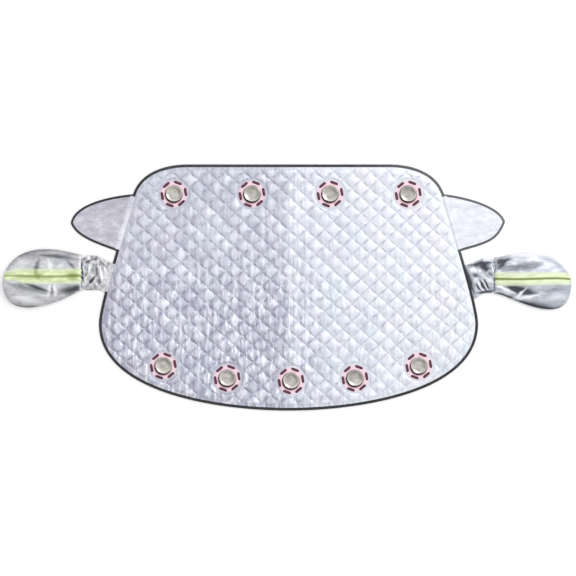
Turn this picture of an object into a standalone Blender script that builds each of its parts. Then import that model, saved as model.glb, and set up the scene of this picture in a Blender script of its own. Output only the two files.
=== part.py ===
"""Windshield frost cover, laid out flat with its quilted silver face up.

The frame's origin is the middle of the panel's underside. +X runs along the windshield, +Y points to
the roof edge and +Z points up from the surface that the cover lies on. Lengths are in metres.
"""

import math
from collections import namedtuple

import bmesh
import bpy
from mathutils import Vector
from mathutils.geometry import intersect_line_line

# Clearance between two sewn pieces that touch
GAP = 0.0003

# Straight pieces in each fine curve, and the angle up to which an edge of cloth or metal looks smooth
CURVE_STEPS = 120
CLOTH_SMOOTH_BELOW = math.radians(50)
METAL_SMOOTH_BELOW = math.radians(30)

# Outline of the panel, measured to the outer edge of its binding
PANEL_WIDTH = 1.504
PANEL_HEIGHT = 0.975
CORNER_WIDTH = 0.219
CORNER_DROP = 0.1245
CORNER_TOP_HANDLE = 0.072
SHOULDER_HANDLE = 0.108
SHOULDER_INSET = 0.133
SIDE_SLOPE = 0.29
SIDE_HANDLE = 0.170
WIDEST_ABOVE_BOTTOM = 0.343
WIDEST_HANDLE_UP = 0.072
WIDEST_HANDLE_DOWN = 0.270
BOTTOM_HANDLE = 0.291
CORNER_STEP = 0.028
SIDE_STEP = 0.075
BOTTOM_STEP = 0.070

# Quilting: padding stitched flat along two families of straight lines
QUILT_CELL_WIDTH = 0.0714
QUILT_CELL_HEIGHT = 0.0655
QUILT_EDGE_THICKNESS = 0.0030
QUILT_CROWN = 0.0068
QUILT_SHOULDER = 0.55
QUILT_SMALL_SHARE = 0.55
STITCH_SNAP = 0.003
EDGE_RAMP = 0.006

# Bindings: folded tape with a slot that holds the edge of a sheet
BINDING_WALL = 0.0010
BINDING_WIDTH = 0.011
FLAP_BINDING_WIDTH = 0.009
END_OVERRUN = 0.020
CUT_REACH = 0.150

# Door flaps: thin smooth sheets sewn to the panel's sides
FLAP_THICKNESS = 0.0014
FLAP_BELOW_TOP = 0.1185
FLAP_ROOT_HEIGHT = 0.2245
FLAP_STEP = 0.036

# Magnets: dished metal discs on round stitched patches
MAGNET_RADIUS = 0.035
MAGNET_HEIGHT = 0.0050
MAGNET_RIM = 0.0035
MAGNET_DISH = 0.0016
MAGNET_EDGE = 0.0010
MAGNET_SIDES = 16
PATCH_RADIUS = 0.060
PATCH_THICKNESS = 0.0015
PATCH_SIDES = 20
SEAT_DEPTH = 0.0008
STITCH_COUNT = 6
STITCH_RING_RADIUS = 0.0468
STITCH_LENGTH = 0.032
STITCH_WIDTH = 0.0065
STITCH_HEIGHT = 0.0010
STITCH_TURN = math.radians(10)
TOP_MAGNETS = 4
TOP_MAGNET_MARGIN = 0.1175
TOP_MAGNET_SIDE_MARGIN = 0.288
BOTTOM_MAGNETS = 5
BOTTOM_MAGNET_MARGIN = 0.1175
BOTTOM_MAGNET_SIDE_MARGIN = 0.246
BOTTOM_MAGNET_RISE = 0.059
BOTTOM_MAGNET_BEND = 2.5
MAGNET_ROW_SHIFT = 0.010

# Mirror covers: bags of two sewn shells, on scrunched straps
SHELL_WALL = 0.0014
SEAM_LEVEL = 0.0085
MOUTH_HALF_WIDTH = 0.0725
HEM_WIDTH = 0.016
CROWN_AT_MOUTH = 0.022
CROWN_AT_MIDDLE = 0.032
CROWN_FULL_AT = 0.45
CROWN_TIP_FADE = 3.0
UPPER_ROUNDNESS = 0.60
LOWER_ROUNDNESS = 0.32
LOWER_TIP_ROUNDNESS = 6
PLEAT_DEPTH = 0.0032
PLEAT_FADE = 0.42
FOLDS_FADE_FROM_TIP = 0.25
LEAST_CROWN_SHARE = 0.15
SHELL_STATIONS = 12

# Places across the bag: those of the lower half, and those of the upper half from an edge to the tape
LOWER_SHARES = (0, 0.05, 0.18, 0.38, 0.62, 0.82, 0.95, 1)
EDGE_TO_TAPE_SHARES = (0, 0.10, 0.32, 0.56, 0.80)

# Reflective tape: two bands with a crease between them
TAPE_HALF_WIDTH = 0.025
TAPE_CREASE_HALF = 0.003
TAPE_THICKNESS = 0.0008
TAPE_CREASE_DEPTH = 0.0004
TAPE_WIDTH_SHARE = 0.34
TAPE_EDGE_MARGIN = 1.3

# Elastic in the hem of the bag's mouth
ELASTIC_SETBACK = 0.004
ELASTIC_WIDTH = 0.009
ELASTIC_THICKNESS = 0.0014

# Strap: scrunched into ridges between the panel and the bag's mouth
STRAP_THICKNESS = 0.0014
STRAP_LEVEL = 0.0008
STRAP_RIDGES = 5
STRAP_RIDGE_HEIGHT = 0.017
STRAP_RIDGE_STEPS = 4
STRAP_RIDGE_SLANT = 0.35
STRAP_SIDE_DROP = 0.29
STRAP_END_SHARE = 0.2
STRAP_SPREAD = 1.8
STRAP_COLUMNS = 6
STRAP_TUCK = 0.016
STRAP_TUCK_HALF_WIDTH = 0.048
STRAP_TUCK_LIFT = 0.0018
STRAP_HALF_WIDTH = 0.068
STRAP_LIP = 0.0015

Flap = namedtuple("Flap", "reach tip_y upper_root upper_tip lower_tip lower_root")
FLAPS = {
    "left": Flap(0.213, 0.255, (0.020, 0.000), (-0.013, 0.094), (-0.022, -0.061), (0.060, 0.024)),
    "right": Flap(0.210, 0.261, (0.020, 0.000), (-0.026, 0.080), (-0.027, -0.080), (0.100, 0.029)),
}

Fold = namedtuple("Fold", "start end depth width")
Cover = namedtuple(
    "Cover",
    "strap_top strap_drop strap_length neck_y length tip_y upper_root upper_tip lower_root lower_tip"
    " tape_y over_binding folds",
)
COVERS = {
    "left": Cover(
        strap_top=0.0515,
        strap_drop=0.111,
        strap_length=0.110,
        neck_y=0.0585,
        length=0.315,
        tip_y=-0.0365,
        upper_root=(0.270, 0.078),
        upper_tip=0.022,
        lower_root=(0.034, -0.029),
        lower_tip=0.186,
        tape_y=-0.0135,
        over_binding=True,
        folds=(
            Fold((0.280, -0.062), (0.120, -0.098), 0.0080, 0.011),
            Fold((0.180, 0.052), (0.208, 0.004), 0.0060, 0.011),
            Fold((0.070, -0.050), (0.020, -0.070), 0.0060, 0.016),
        ),
    ),
    "right": Cover(
        strap_top=0.0555,
        strap_drop=0.135,
        strap_length=0.104,
        neck_y=0.0465,
        length=0.304,
        tip_y=-0.0285,
        upper_root=(0.250, 0.068),
        upper_tip=0.026,
        lower_root=(0.054, -0.010),
        lower_tip=0.200,
        tape_y=-0.0120,
        over_binding=False,
        folds=(
            Fold((0.020, 0.036), (0.170, 0.056), 0.0070, 0.013),
            Fold((0.018, -0.052), (0.120, -0.070), 0.0080, 0.012),
            Fold((0.140, -0.060), (0.200, -0.092), 0.0050, 0.016),
        ),
    ),
}

# Surfaces, with the photo's colours
Finish = namedtuple("Finish", "colour roughness metallic")
QUILTED_FILM = Finish((0.66, 0.67, 0.74), 0.32, 0.75)
SMOOTH_FILM = Finish((0.62, 0.62, 0.68), 0.38, 0.70)
BLACK_TAPE = Finish((0.012, 0.012, 0.014), 0.85, 0)
BAG_CLOTH = Finish((0.58, 0.60, 0.64), 0.35, 0.65)
WHITE_ELASTIC = Finish((0.75, 0.76, 0.78), 0.80, 0)
BRIGHT_TAPE = Finish((0.72, 0.90, 0.28), 0.45, 0)
NICKEL = Finish((0.62, 0.60, 0.55), 0.28, 1)
PATCH_CLOTH = Finish((0.90, 0.62, 0.72), 0.75, 0)

# Levels and positions that follow from the sizes above
SLOT_CLEARANCE = BINDING_WALL + GAP
BINDING_HEIGHT = QUILT_EDGE_THICKNESS + 2 * SLOT_CLEARANCE
FLAP_BINDING_HEIGHT = FLAP_THICKNESS + 2 * SLOT_CLEARANCE
TONGUE_LEVEL = SLOT_CLEARANCE
STITCHED_LEVEL = TONGUE_LEVEL + QUILT_EDGE_THICKNESS
SEAT_LEVEL = STITCHED_LEVEL - SEAT_DEPTH
PATCH_LEVEL = SEAT_LEVEL + GAP
MAGNET_LEVEL = PATCH_LEVEL + PATCH_THICKNESS + GAP
TOP_Y = PANEL_HEIGHT / 2
BOTTOM_Y = -PANEL_HEIGHT / 2
HALF_WIDTH = PANEL_WIDTH / 2
SHOULDER = Vector((HALF_WIDTH - SHOULDER_INSET, TOP_Y - CORNER_DROP))
WIDEST = Vector((HALF_WIDTH, BOTTOM_Y + WIDEST_ABOVE_BOTTOM))
FLAP_TOP_Y = TOP_Y - FLAP_BELOW_TOP
FLAP_BOTTOM_Y = FLAP_TOP_Y - FLAP_ROOT_HEIGHT
UPPER_SEAM_LEVEL = SEAM_LEVEL + GAP / 2
LOWER_SEAM_LEVEL = SEAM_LEVEL - GAP / 2
STRAP_TUCK_LEVEL = SHELL_WALL + ELASTIC_THICKNESS + 2 * GAP + STRAP_TUCK_LIFT
FIRST_TAPE_COLUMN = len(EDGE_TO_TAPE_SHARES)
TAPE_COLUMNS = range(FIRST_TAPE_COLUMN, FIRST_TAPE_COLUMN + 4)


def bezier(start, start_handle, end_handle, end, at):
    """The point of a cubic curve at this share of its parameter."""
    rest = 1 - at
    near = start * rest**3 + start_handle * (3 * rest * rest * at)
    return near + end_handle * (3 * rest * at * at) + end * at**3


def bezier_points(start, start_handle, end_handle, end):
    """A fine polyline along a cubic curve."""
    shares = [step / CURVE_STEPS for step in range(CURVE_STEPS + 1)]
    return [bezier(start, start_handle, end_handle, end, share) for share in shares]


class Route:
    """A fine polyline, read by the distance along it."""

    def __init__(self, points):
        self.points = points
        self.distances = [0.0]
        for before, after in zip(points, points[1:]):
            self.distances.append(self.distances[-1] + (after - before).length)

    def segment(self, distance):
        for index in range(1, len(self.points) - 1):
            if self.distances[index] >= distance:
                return index
        return len(self.points) - 1

    def at(self, distance):
        index = self.segment(distance)
        start = self.distances[index - 1]
        share = (distance - start) / (self.distances[index] - start)
        return self.points[index - 1].lerp(self.points[index], share)

    def direction(self, distance):
        index = self.segment(distance)
        return (self.points[index] - self.points[index - 1]).normalized()

    def where_height(self, y):
        """The distance at which the route comes down past this y."""
        for index in range(1, len(self.points)):
            before = self.points[index - 1]
            after = self.points[index]
            if after.y <= y < before.y:
                share = (before.y - y) / (before.y - after.y)
                return self.distances[index - 1] + share * (after - before).length
        return self.distances[-1]

    def stretch(self, start, end, step):
        """Points from one distance to another, about a step apart."""
        count = max(1, round((end - start) / step))
        return [self.at(start + (end - start) * index / count) for index in range(count + 1)]


def panel_side():
    """The right half of the panel's outline, from the middle of the top edge to that of the bottom."""
    down_side = Vector((SIDE_SLOPE, -1)).normalized()
    corner = Vector((SHOULDER.x - CORNER_WIDTH, TOP_Y))
    corner_curve = bezier_points(
        corner, corner + Vector((CORNER_TOP_HANDLE, 0)), SHOULDER - down_side * SHOULDER_HANDLE, SHOULDER
    )
    side_curve = bezier_points(
        SHOULDER, SHOULDER + down_side * SIDE_HANDLE, WIDEST + Vector((0, WIDEST_HANDLE_UP)), WIDEST
    )
    middle = Vector((0, BOTTOM_Y))
    bottom_curve = bezier_points(
        WIDEST, WIDEST - Vector((0, WIDEST_HANDLE_DOWN)), middle + Vector((BOTTOM_HANDLE, 0)), middle
    )
    return Route([Vector((0, TOP_Y))] + corner_curve + side_curve[1:] + bottom_curve[1:])


SIDE = panel_side()
SIDE_LENGTH = SIDE.distances[-1]
CORNER_AT = SHOULDER.x - CORNER_WIDTH
FLAP_TOP_AT = SIDE.where_height(FLAP_TOP_Y)
FLAP_BOTTOM_AT = SIDE.where_height(FLAP_BOTTOM_Y)


def mirrored(points):
    """The same path on the left side, still run with its outside on the right hand."""
    return [Vector((-point.x, point.y)) for point in reversed(points)]


def on_side(points, side):
    return points if side == "right" else mirrored(points)


def right_of(start, end):
    """The unit vector to the right of the way from start to end."""
    way = (end - start).normalized()
    return Vector((way.y, -way.x))


def offset_path(points, outward, closed=False):
    """The path moved to its right by this much, mitred at each point."""
    count = len(points)
    moved = []
    for index, point in enumerate(points):
        normals = []
        if closed or index > 0:
            normals.append(right_of(points[index - 1], point))
        if closed or index < count - 1:
            normals.append(right_of(point, points[(index + 1) % count]))
        if len(normals) == 2:
            mitre = (normals[0] + normals[1]) / (1 + normals[0].dot(normals[1]))
        else:
            mitre = normals[0]
        moved.append(point + mitre * outward)
    return moved


# The right side's points, which the panel, its bindings and its seams share
TOP_POINTS = [SIDE.at(0)] + SIDE.stretch(CORNER_AT, FLAP_TOP_AT, CORNER_STEP)
FLAP_ROOT_POINTS = SIDE.stretch(FLAP_TOP_AT, FLAP_BOTTOM_AT, SIDE_STEP)
BOTTOM_POINTS = SIDE.stretch(FLAP_BOTTOM_AT, SIDE_LENGTH, BOTTOM_STEP)


def panel_outline():
    """The whole outline, counter-clockwise from the middle of the bottom edge."""
    right = TOP_POINTS + FLAP_ROOT_POINTS[1:] + BOTTOM_POINTS[1:]
    right.reverse()
    return right + mirrored(right)[1:-1]


def material(name, finish):
    """A material of a sub-part's own, named after it."""
    made = bpy.data.materials.new(f"{name}_surface")
    made.use_nodes = True
    shader = made.node_tree.nodes["Principled BSDF"]
    shader.inputs["Base Color"].default_value = (*finish.colour, 1.0)
    shader.inputs["Roughness"].default_value = finish.roughness
    shader.inputs["Metallic"].default_value = finish.metallic
    return made


def add_object(name, bm, finish, smooth_below=None):
    """Turns the modelled mesh into a named object, with its faces pointing out."""
    bmesh.ops.recalc_face_normals(bm, faces=bm.faces)
    mesh = bpy.data.meshes.new(name)
    bm.to_mesh(mesh)
    bm.free()
    return place_mesh(name, mesh, finish, smooth_below)


def place_mesh(name, mesh, finish=None, smooth_below=None):
    if finish is not None:
        mesh.materials.append(material(name, finish))
    if smooth_below is not None:
        mesh.shade_smooth()
        mesh.set_sharp_from_angle(angle=smooth_below)
    placed = bpy.data.objects.new(name, mesh)
    bpy.context.scene.collection.objects.link(placed)
    return placed


def add_ring(bm, points, level):
    return [bm.verts.new((point.x, point.y, level)) for point in points]


def bridge_rings(bm, first, second):
    """Joins two closed rings of as many points with quads."""
    count = len(first)
    for index in range(count):
        after = (index + 1) % count
        bm.faces.new((first[index], first[after], second[after], second[index]))


def sheet_with_tongue(bm, outline, tongue_width, thickness):
    """A sheet that lies on the ground, with its edge held up in a slot. Its top is still open: returns
    the top ring at the tongue's inner side, and the path where the underside reaches the ground."""
    inner = offset_path(outline, -tongue_width, closed=True)
    resting = offset_path(outline, -tongue_width - EDGE_RAMP, closed=True)
    under_edge = add_ring(bm, outline, TONGUE_LEVEL)
    under_inner = add_ring(bm, inner, TONGUE_LEVEL)
    under_middle = add_ring(bm, resting, 0)
    over_edge = add_ring(bm, outline, TONGUE_LEVEL + thickness)
    over_inner = add_ring(bm, inner, TONGUE_LEVEL + thickness)
    bridge_rings(bm, under_edge, over_edge)
    bridge_rings(bm, over_edge, over_inner)
    bridge_rings(bm, under_inner, under_edge)
    bridge_rings(bm, under_middle, under_inner)
    bm.faces.new(reversed(under_middle))
    return over_inner, resting


def stitch_lines():
    """A point on each stitch line and the normal of its family, as far as the panel reaches."""
    across = 1 / QUILT_CELL_WIDTH
    down = 1 / QUILT_CELL_HEIGHT
    reach = math.ceil(HALF_WIDTH * across + TOP_Y * down)
    lines = []
    for normal in (Vector((across, down, 0)), Vector((across, -down, 0))):
        for number in range(-reach, reach + 1):
            lines.append((normal * (number + 0.5) / normal.length_squared, normal.normalized()))
    return lines


def quilt(bm, top_face):
    """Cuts the face along the stitch lines and fills each cell up to a crown."""
    faces = [top_face]
    for point, normal in stitch_lines():
        parts = set(faces)
        for face in faces:
            parts.update(face.edges)
            parts.update(face.verts)
        point = point + Vector((0, 0, STITCHED_LEVEL))
        cut = bmesh.ops.bisect_plane(
            bm, geom=list(parts), dist=STITCH_SNAP, plane_co=point, plane_no=normal
        )
        faces = [part for part in cut["geom"] if isinstance(part, bmesh.types.BMFace)]
    full = QUILT_CELL_WIDTH * QUILT_CELL_HEIGHT / math.hypot(QUILT_CELL_WIDTH, QUILT_CELL_HEIGHT) / 2
    for cell in faces:
        fill_cell(bm, cell, full)


def fill_cell(bm, cell, full_size):
    """Raises one quilted cell, less where the edge leaves only part of it."""
    size = 2 * cell.calc_area() / cell.calc_perimeter()
    rise = QUILT_CROWN * min(1.0, size / full_size)
    if size < QUILT_SMALL_SHARE * full_size:
        peak = bmesh.ops.poke(bm, faces=[cell])["verts"][0]
        peak.co.z = STITCHED_LEVEL + rise
        return
    crown = bmesh.ops.extrude_discrete_faces(bm, faces=[cell])["faces"][0]
    middle = crown.calc_center_median()
    for corner in crown.verts:
        corner.co = middle.lerp(corner.co, QUILT_SHOULDER)
        corner.co.z = STITCHED_LEVEL + rise


def magnet_places():
    """Name and position of each magnet: a straight row at the top, a bowed one at the bottom."""
    places = []
    for number in range(TOP_MAGNETS):
        share = 2 * number / (TOP_MAGNETS - 1) - 1
        x = share * (HALF_WIDTH - TOP_MAGNET_SIDE_MARGIN) + MAGNET_ROW_SHIFT
        places.append((f"top_{number + 1}", Vector((x, TOP_Y - TOP_MAGNET_MARGIN, 0))))
    for number in range(BOTTOM_MAGNETS):
        share = 2 * number / (BOTTOM_MAGNETS - 1) - 1
        x = share * (HALF_WIDTH - BOTTOM_MAGNET_SIDE_MARGIN) + MAGNET_ROW_SHIFT
        rise = BOTTOM_MAGNET_RISE * abs(share) ** BOTTOM_MAGNET_BEND
        places.append((f"bottom_{number + 1}", Vector((x, BOTTOM_Y + BOTTOM_MAGNET_MARGIN + rise, 0))))
    return places


def add_disc(bm, radius, sides, low, high, centre=Vector((0, 0, 0))):
    """A closed round plate between two levels."""
    turn = [2 * math.pi * side / sides for side in range(sides)]
    rim = [centre.xy + Vector((math.cos(angle), math.sin(angle))) * radius for angle in turn]
    lower = add_ring(bm, rim, low)
    upper = add_ring(bm, rim, high)
    bridge_rings(bm, lower, upper)
    bm.faces.new(reversed(lower))
    bm.faces.new(upper)


def seat_cutter():
    """Presses the quilting flat where each magnet's patch is sewn on."""
    bm = bmesh.new()
    high = STITCHED_LEVEL + 2 * QUILT_CROWN
    for _, place in magnet_places():
        add_disc(bm, PATCH_RADIUS + GAP, PATCH_SIDES, SEAT_LEVEL, high, place)
    cutter = add_object("seat_cutter", bm, None)
    cutter.hide_render = True
    cutter.display_type = "WIRE"
    return cutter


def add_boolean(target, operation, other):
    cut = target.modifiers.new(operation.lower(), "BOOLEAN")
    cut.operation = operation
    cut.solver = "EXACT"
    cut.object = other


def quilted_panel(finish):
    bm = bmesh.new()
    outline = offset_path(panel_outline(), -SLOT_CLEARANCE, closed=True)
    tongue_width = BINDING_WIDTH + GAP - SLOT_CLEARANCE
    over_inner, _ = sheet_with_tongue(bm, outline, tongue_width, QUILT_EDGE_THICKNESS)
    quilt(bm, bm.faces.new(over_inner))
    panel = add_object("quilted_panel", bm, finish)
    add_boolean(panel, "DIFFERENCE", seat_cutter())


def sweep(path, profile):
    """Carries a closed profile of (outward, level) points along a path, with flat ends."""
    bm = bmesh.new()
    lines = []
    for outward, level in profile:
        lines.append(add_ring(bm, offset_path(path, outward), level))
    for index, line in enumerate(lines):
        other = lines[(index + 1) % len(lines)]
        for near, far in zip(range(len(path) - 1), range(1, len(path))):
            bm.faces.new((line[near], line[far], other[far], other[near]))
    bm.faces.new([line[0] for line in lines])
    bm.faces.new([line[-1] for line in reversed(lines)])
    return bm


def cut_end(bm, point, beyond):
    """Cuts off the nearby end that lies past the upright plane through the point, and closes it."""
    near = {vert for vert in bm.verts if (vert.co.xy - point).length < CUT_REACH}
    edges = [edge for edge in bm.edges if near.issuperset(edge.verts)]
    faces = [face for face in bm.faces if near.issuperset(face.verts)]
    parts = list(near) + edges + faces
    at = Vector((point.x, point.y, 0))
    facing = Vector((beyond.x, beyond.y, 0))
    bmesh.ops.bisect_plane(bm, geom=parts, plane_co=at, plane_no=facing, clear_outer=True)
    open_edges = [edge for edge in bm.edges if len(edge.link_faces) == 1]
    bmesh.ops.contextual_create(bm, geom=open_edges)


def binding_profile(width, height):
    """A tape folded round an edge, open towards the sheet that it holds."""
    return [
        (0, 0),
        (0, height),
        (-width, height),
        (-width, height - BINDING_WALL),
        (-BINDING_WALL, height - BINDING_WALL),
        (-BINDING_WALL, BINDING_WALL),
        (-width, BINDING_WALL),
        (-width, 0),
    ]


def seam_profile():
    """A tape with a slot on each side, one for the panel's edge and one for the flap's."""
    slot_top = FLAP_BINDING_HEIGHT - BINDING_WALL
    return [
        (FLAP_BINDING_WIDTH, 0),
        (FLAP_BINDING_WIDTH, BINDING_WALL),
        (0, BINDING_WALL),
        (0, slot_top),
        (FLAP_BINDING_WIDTH, slot_top),
        (FLAP_BINDING_WIDTH, FLAP_BINDING_HEIGHT),
        (0, BINDING_HEIGHT),
        (-BINDING_WIDTH, BINDING_HEIGHT),
        (-BINDING_WIDTH, BINDING_HEIGHT - BINDING_WALL),
        (-BINDING_WALL, BINDING_HEIGHT - BINDING_WALL),
        (-BINDING_WALL, BINDING_WALL),
        (-BINDING_WIDTH, BINDING_WALL),
        (-BINDING_WIDTH, 0),
    ]


def flap_path(side):
    """The flap's free edge on the right side, from its lower root round the tip to its upper root."""
    shape = FLAPS[side]
    upper = SIDE.at(FLAP_TOP_AT)
    lower = SIDE.at(FLAP_BOTTOM_AT)
    tip = Vector((SIDE.at(SIDE.where_height(shape.tip_y)).x + shape.reach, shape.tip_y))
    lower_edge = Route(
        bezier_points(lower, lower + Vector(shape.lower_root), tip + Vector(shape.lower_tip), tip)
    )
    upper_edge = Route(
        bezier_points(tip, tip + Vector(shape.upper_tip), upper + Vector(shape.upper_root), upper)
    )
    points = lower_edge.stretch(0, lower_edge.distances[-1], FLAP_STEP)
    return points + upper_edge.stretch(0, upper_edge.distances[-1], FLAP_STEP)[1:]


def flap_seam_ends(side):
    """Where the flap's binding ends the seam: (point, way beyond it) at its lower and upper root."""
    path = flap_path(side)
    lower_out = right_of(path[0], path[1])
    upper_out = right_of(path[-2], path[-1])
    return (
        (path[0] - lower_out * FLAP_BINDING_WIDTH, lower_out),
        (path[-1] - upper_out * FLAP_BINDING_WIDTH, upper_out),
    )


def to_side(vector, side):
    return vector.copy() if side == "right" else Vector((-vector.x, vector.y))


def panel_bindings(finish):
    """The black tape on the panel's edge: over the top, and round the bottom."""
    profile = binding_profile(BINDING_WIDTH, BINDING_HEIGHT)
    overrun = FLAP_BINDING_WIDTH + END_OVERRUN
    top = TOP_POINTS + [SIDE.at(FLAP_TOP_AT + overrun)]
    bottom = [SIDE.at(FLAP_BOTTOM_AT - overrun)] + BOTTOM_POINTS
    top.reverse()
    bottom.reverse()
    over_top = sweep(top + mirrored(top)[1:], profile)
    round_bottom = sweep(mirrored(bottom) + bottom[1:], profile)
    for side in FLAPS:
        (lower, below), (upper, above) = flap_seam_ends(side)
        cut_end(over_top, to_side(upper, side), to_side(-above, side))
        cut_end(round_bottom, to_side(lower, side), to_side(-below, side))
    add_object("top_binding", over_top, finish)
    add_object("bottom_binding", round_bottom, finish)


def flap_seam(side, finish):
    path = [SIDE.at(FLAP_TOP_AT - END_OVERRUN)] + FLAP_ROOT_POINTS
    path.append(SIDE.at(FLAP_BOTTOM_AT + END_OVERRUN))
    path.reverse()
    seam = sweep(on_side(path, side), seam_profile())
    for point, beyond in flap_seam_ends(side):
        cut_end(seam, to_side(point - beyond * GAP, side), to_side(beyond, side))
    add_object(f"{side}_flap_seam", seam, finish)


def flap_binding(side, finish):
    path = flap_path(side)
    start = path[0] - (path[1] - path[0]).normalized() * END_OVERRUN
    end = path[-1] + (path[-1] - path[-2]).normalized() * END_OVERRUN
    path = [start] + path[1:-1] + [end]
    binding = sweep(on_side(path, side), binding_profile(FLAP_BINDING_WIDTH, FLAP_BINDING_HEIGHT))
    for distance in (FLAP_BOTTOM_AT, FLAP_TOP_AT):
        way = SIDE.direction(distance)
        inward = Vector((way.y, -way.x))
        edge = SIDE.at(distance) - inward * GAP
        cut_end(binding, to_side(edge, side), to_side(inward, side))
    add_object(f"{side}_flap_binding", binding, finish)


def door_flap(side, finish):
    """The flap's sheet: its root edge follows the panel's side, its free edge lies in the binding."""
    free = offset_path(flap_path(side), -SLOT_CLEARANCE)
    root = offset_path(FLAP_ROOT_POINTS, -GAP)
    lower = corner_of(free[0], free[1], root[-2], root[-1])
    upper = corner_of(free[-2], free[-1], root[0], root[1])
    outline = [lower] + free[1:-1] + [upper] + root[1:-1]
    bm = bmesh.new()
    tongue_width = FLAP_BINDING_WIDTH + GAP
    over_inner, resting = sheet_with_tongue(bm, on_side(outline, side), tongue_width, FLAP_THICKNESS)
    over_middle = add_ring(bm, resting, FLAP_THICKNESS)
    bridge_rings(bm, over_inner, over_middle)
    bm.faces.new(over_middle)
    add_object(f"{side}_door_flap", bm, finish)


def corner_of(first, second, third, fourth):
    """Where the line through two points meets the line through two others."""
    meeting = intersect_line_line(first.to_3d(), second.to_3d(), third.to_3d(), fourth.to_3d())
    return meeting[0].xy


def magnet_mesh():
    """A disc turned from its half profile: flat below, with a rolled rim round a shallow dish."""
    rim_start = MAGNET_RADIUS - MAGNET_RIM
    profile = [
        (MAGNET_RADIUS - MAGNET_EDGE, 0),
        (MAGNET_RADIUS, MAGNET_EDGE),
        (MAGNET_RADIUS, MAGNET_HEIGHT - MAGNET_EDGE),
        (MAGNET_RADIUS - MAGNET_EDGE, MAGNET_HEIGHT),
        (rim_start + MAGNET_EDGE, MAGNET_HEIGHT),
        (rim_start, MAGNET_HEIGHT - MAGNET_DISH),
    ]
    bm = bmesh.new()
    turn = [2 * math.pi * side / MAGNET_SIDES for side in range(MAGNET_SIDES)]
    circle = [Vector((math.cos(angle), math.sin(angle))) for angle in turn]
    rings = [add_ring(bm, [point * radius for point in circle], level) for radius, level in profile]
    for first, second in zip(rings, rings[1:]):
        bridge_rings(bm, first, second)
    bm.faces.new(reversed(rings[0]))
    bm.faces.new(rings[-1])
    mesh = bpy.data.meshes.new("magnet")
    bm.to_mesh(mesh)
    bm.free()
    mesh.shade_smooth()
    mesh.set_sharp_from_angle(angle=METAL_SMOOTH_BELOW)
    return mesh


def add_stitch(bm, angle):
    """One raised bar stitch, lying across a radius of the patch."""
    way = Vector((math.cos(angle), math.sin(angle), 0))
    along = Vector((-way.y, way.x, 0))
    corners = bmesh.ops.create_cube(bm, size=1)["verts"]
    low = PATCH_THICKNESS / 2
    high = PATCH_THICKNESS + STITCH_HEIGHT
    for corner in corners:
        level = low if corner.co.z < 0 else high
        spot = way * (STITCH_RING_RADIUS + corner.co.x * STITCH_WIDTH)
        corner.co = spot + along * (corner.co.y * STITCH_LENGTH) + Vector((0, 0, level))


def patch_mesh():
    """A round patch with its ring of raised stitches joined to it."""
    bm = bmesh.new()
    for number in range(STITCH_COUNT):
        add_stitch(bm, STITCH_TURN + 2 * math.pi * number / STITCH_COUNT)
    stitches = add_object("patch_stitches", bm, None)
    bm = bmesh.new()
    add_disc(bm, PATCH_RADIUS, PATCH_SIDES, 0, PATCH_THICKNESS)
    plain = add_object("plain_patch", bm, None)
    add_boolean(plain, "UNION", stitches)
    joined = plain.evaluated_get(bpy.context.evaluated_depsgraph_get())
    mesh = bpy.data.meshes.new_from_object(joined)
    bpy.data.objects.remove(plain)
    bpy.data.objects.remove(stitches)
    return mesh


def magnets(metal, cloth):
    disc = magnet_mesh()
    disc.materials.append(material("magnet", metal))
    patch = patch_mesh()
    patch.materials.append(material("magnet_patch", cloth))
    for name, place in magnet_places():
        sewn = place_mesh(f"magnet_patch_{name}", patch)
        sewn.location = place + Vector((0, 0, PATCH_LEVEL))
        magnet = place_mesh(f"magnet_{name}", disc)
        magnet.location = place + Vector((0, 0, MAGNET_LEVEL))


def neck_of(side):
    """The middle of the bag's mouth on the right side, in plan."""
    cover = COVERS[side]
    edge = SIDE.at(SIDE.where_height(cover.neck_y))
    return Vector((edge.x + cover.strap_length, cover.neck_y))


def bag_edges(side, at):
    """The bag's two edges at one share of the way from its hem to its tip: (lower, upper), in plan."""
    cover = COVERS[side]
    neck = neck_of(side)
    tip = neck + Vector((cover.length, cover.tip_y))
    upper = neck + Vector((HEM_WIDTH, MOUTH_HALF_WIDTH))
    lower = neck + Vector((HEM_WIDTH, -MOUTH_HALF_WIDTH))
    upper_handle = tip + Vector((0, cover.upper_tip))
    lower_handle = tip - Vector((0, cover.lower_tip))
    return (
        bezier(lower, lower + Vector(cover.lower_root), lower_handle, tip, at),
        bezier(upper, upper + Vector(cover.upper_root), upper_handle, tip, at),
    )


def bag_columns(lower, upper, tape_y):
    """Shares across the bag, from its lower edge to its upper one, with the tape's lines among them."""
    width = upper.y - lower.y
    half = min(TAPE_HALF_WIDTH, TAPE_WIDTH_SHARE * width) / width
    crease = half * TAPE_CREASE_HALF / TAPE_HALF_WIDTH
    margin = half * TAPE_EDGE_MARGIN
    middle = min(max((tape_y - lower.y) / width, margin), 1 - margin)
    low_side = middle - half
    high_side = 1 - middle - half
    below = [low_side * share for share in EDGE_TO_TAPE_SHARES]
    above = [1 - high_side * share for share in reversed(EDGE_TO_TAPE_SHARES)]
    return below + [middle - half, middle - crease, middle + crease, middle + half] + above


def distance_to(point, start, end):
    """How far a point lies from a straight stretch."""
    way = end - start
    share = min(1.0, max(0.0, (point - start).dot(way) / way.length_squared))
    return (point - start - way * share).length


def fold_depth(side, spot):
    """How far the folds of the bag sink its top at this spot."""
    neck = neck_of(side)
    depth = 0.0
    for fold in COVERS[side].folds:
        away = distance_to(spot, neck + Vector(fold.start), neck + Vector(fold.end))
        depth += fold.depth * math.exp(-((away / fold.width) ** 2))
    return depth


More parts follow.
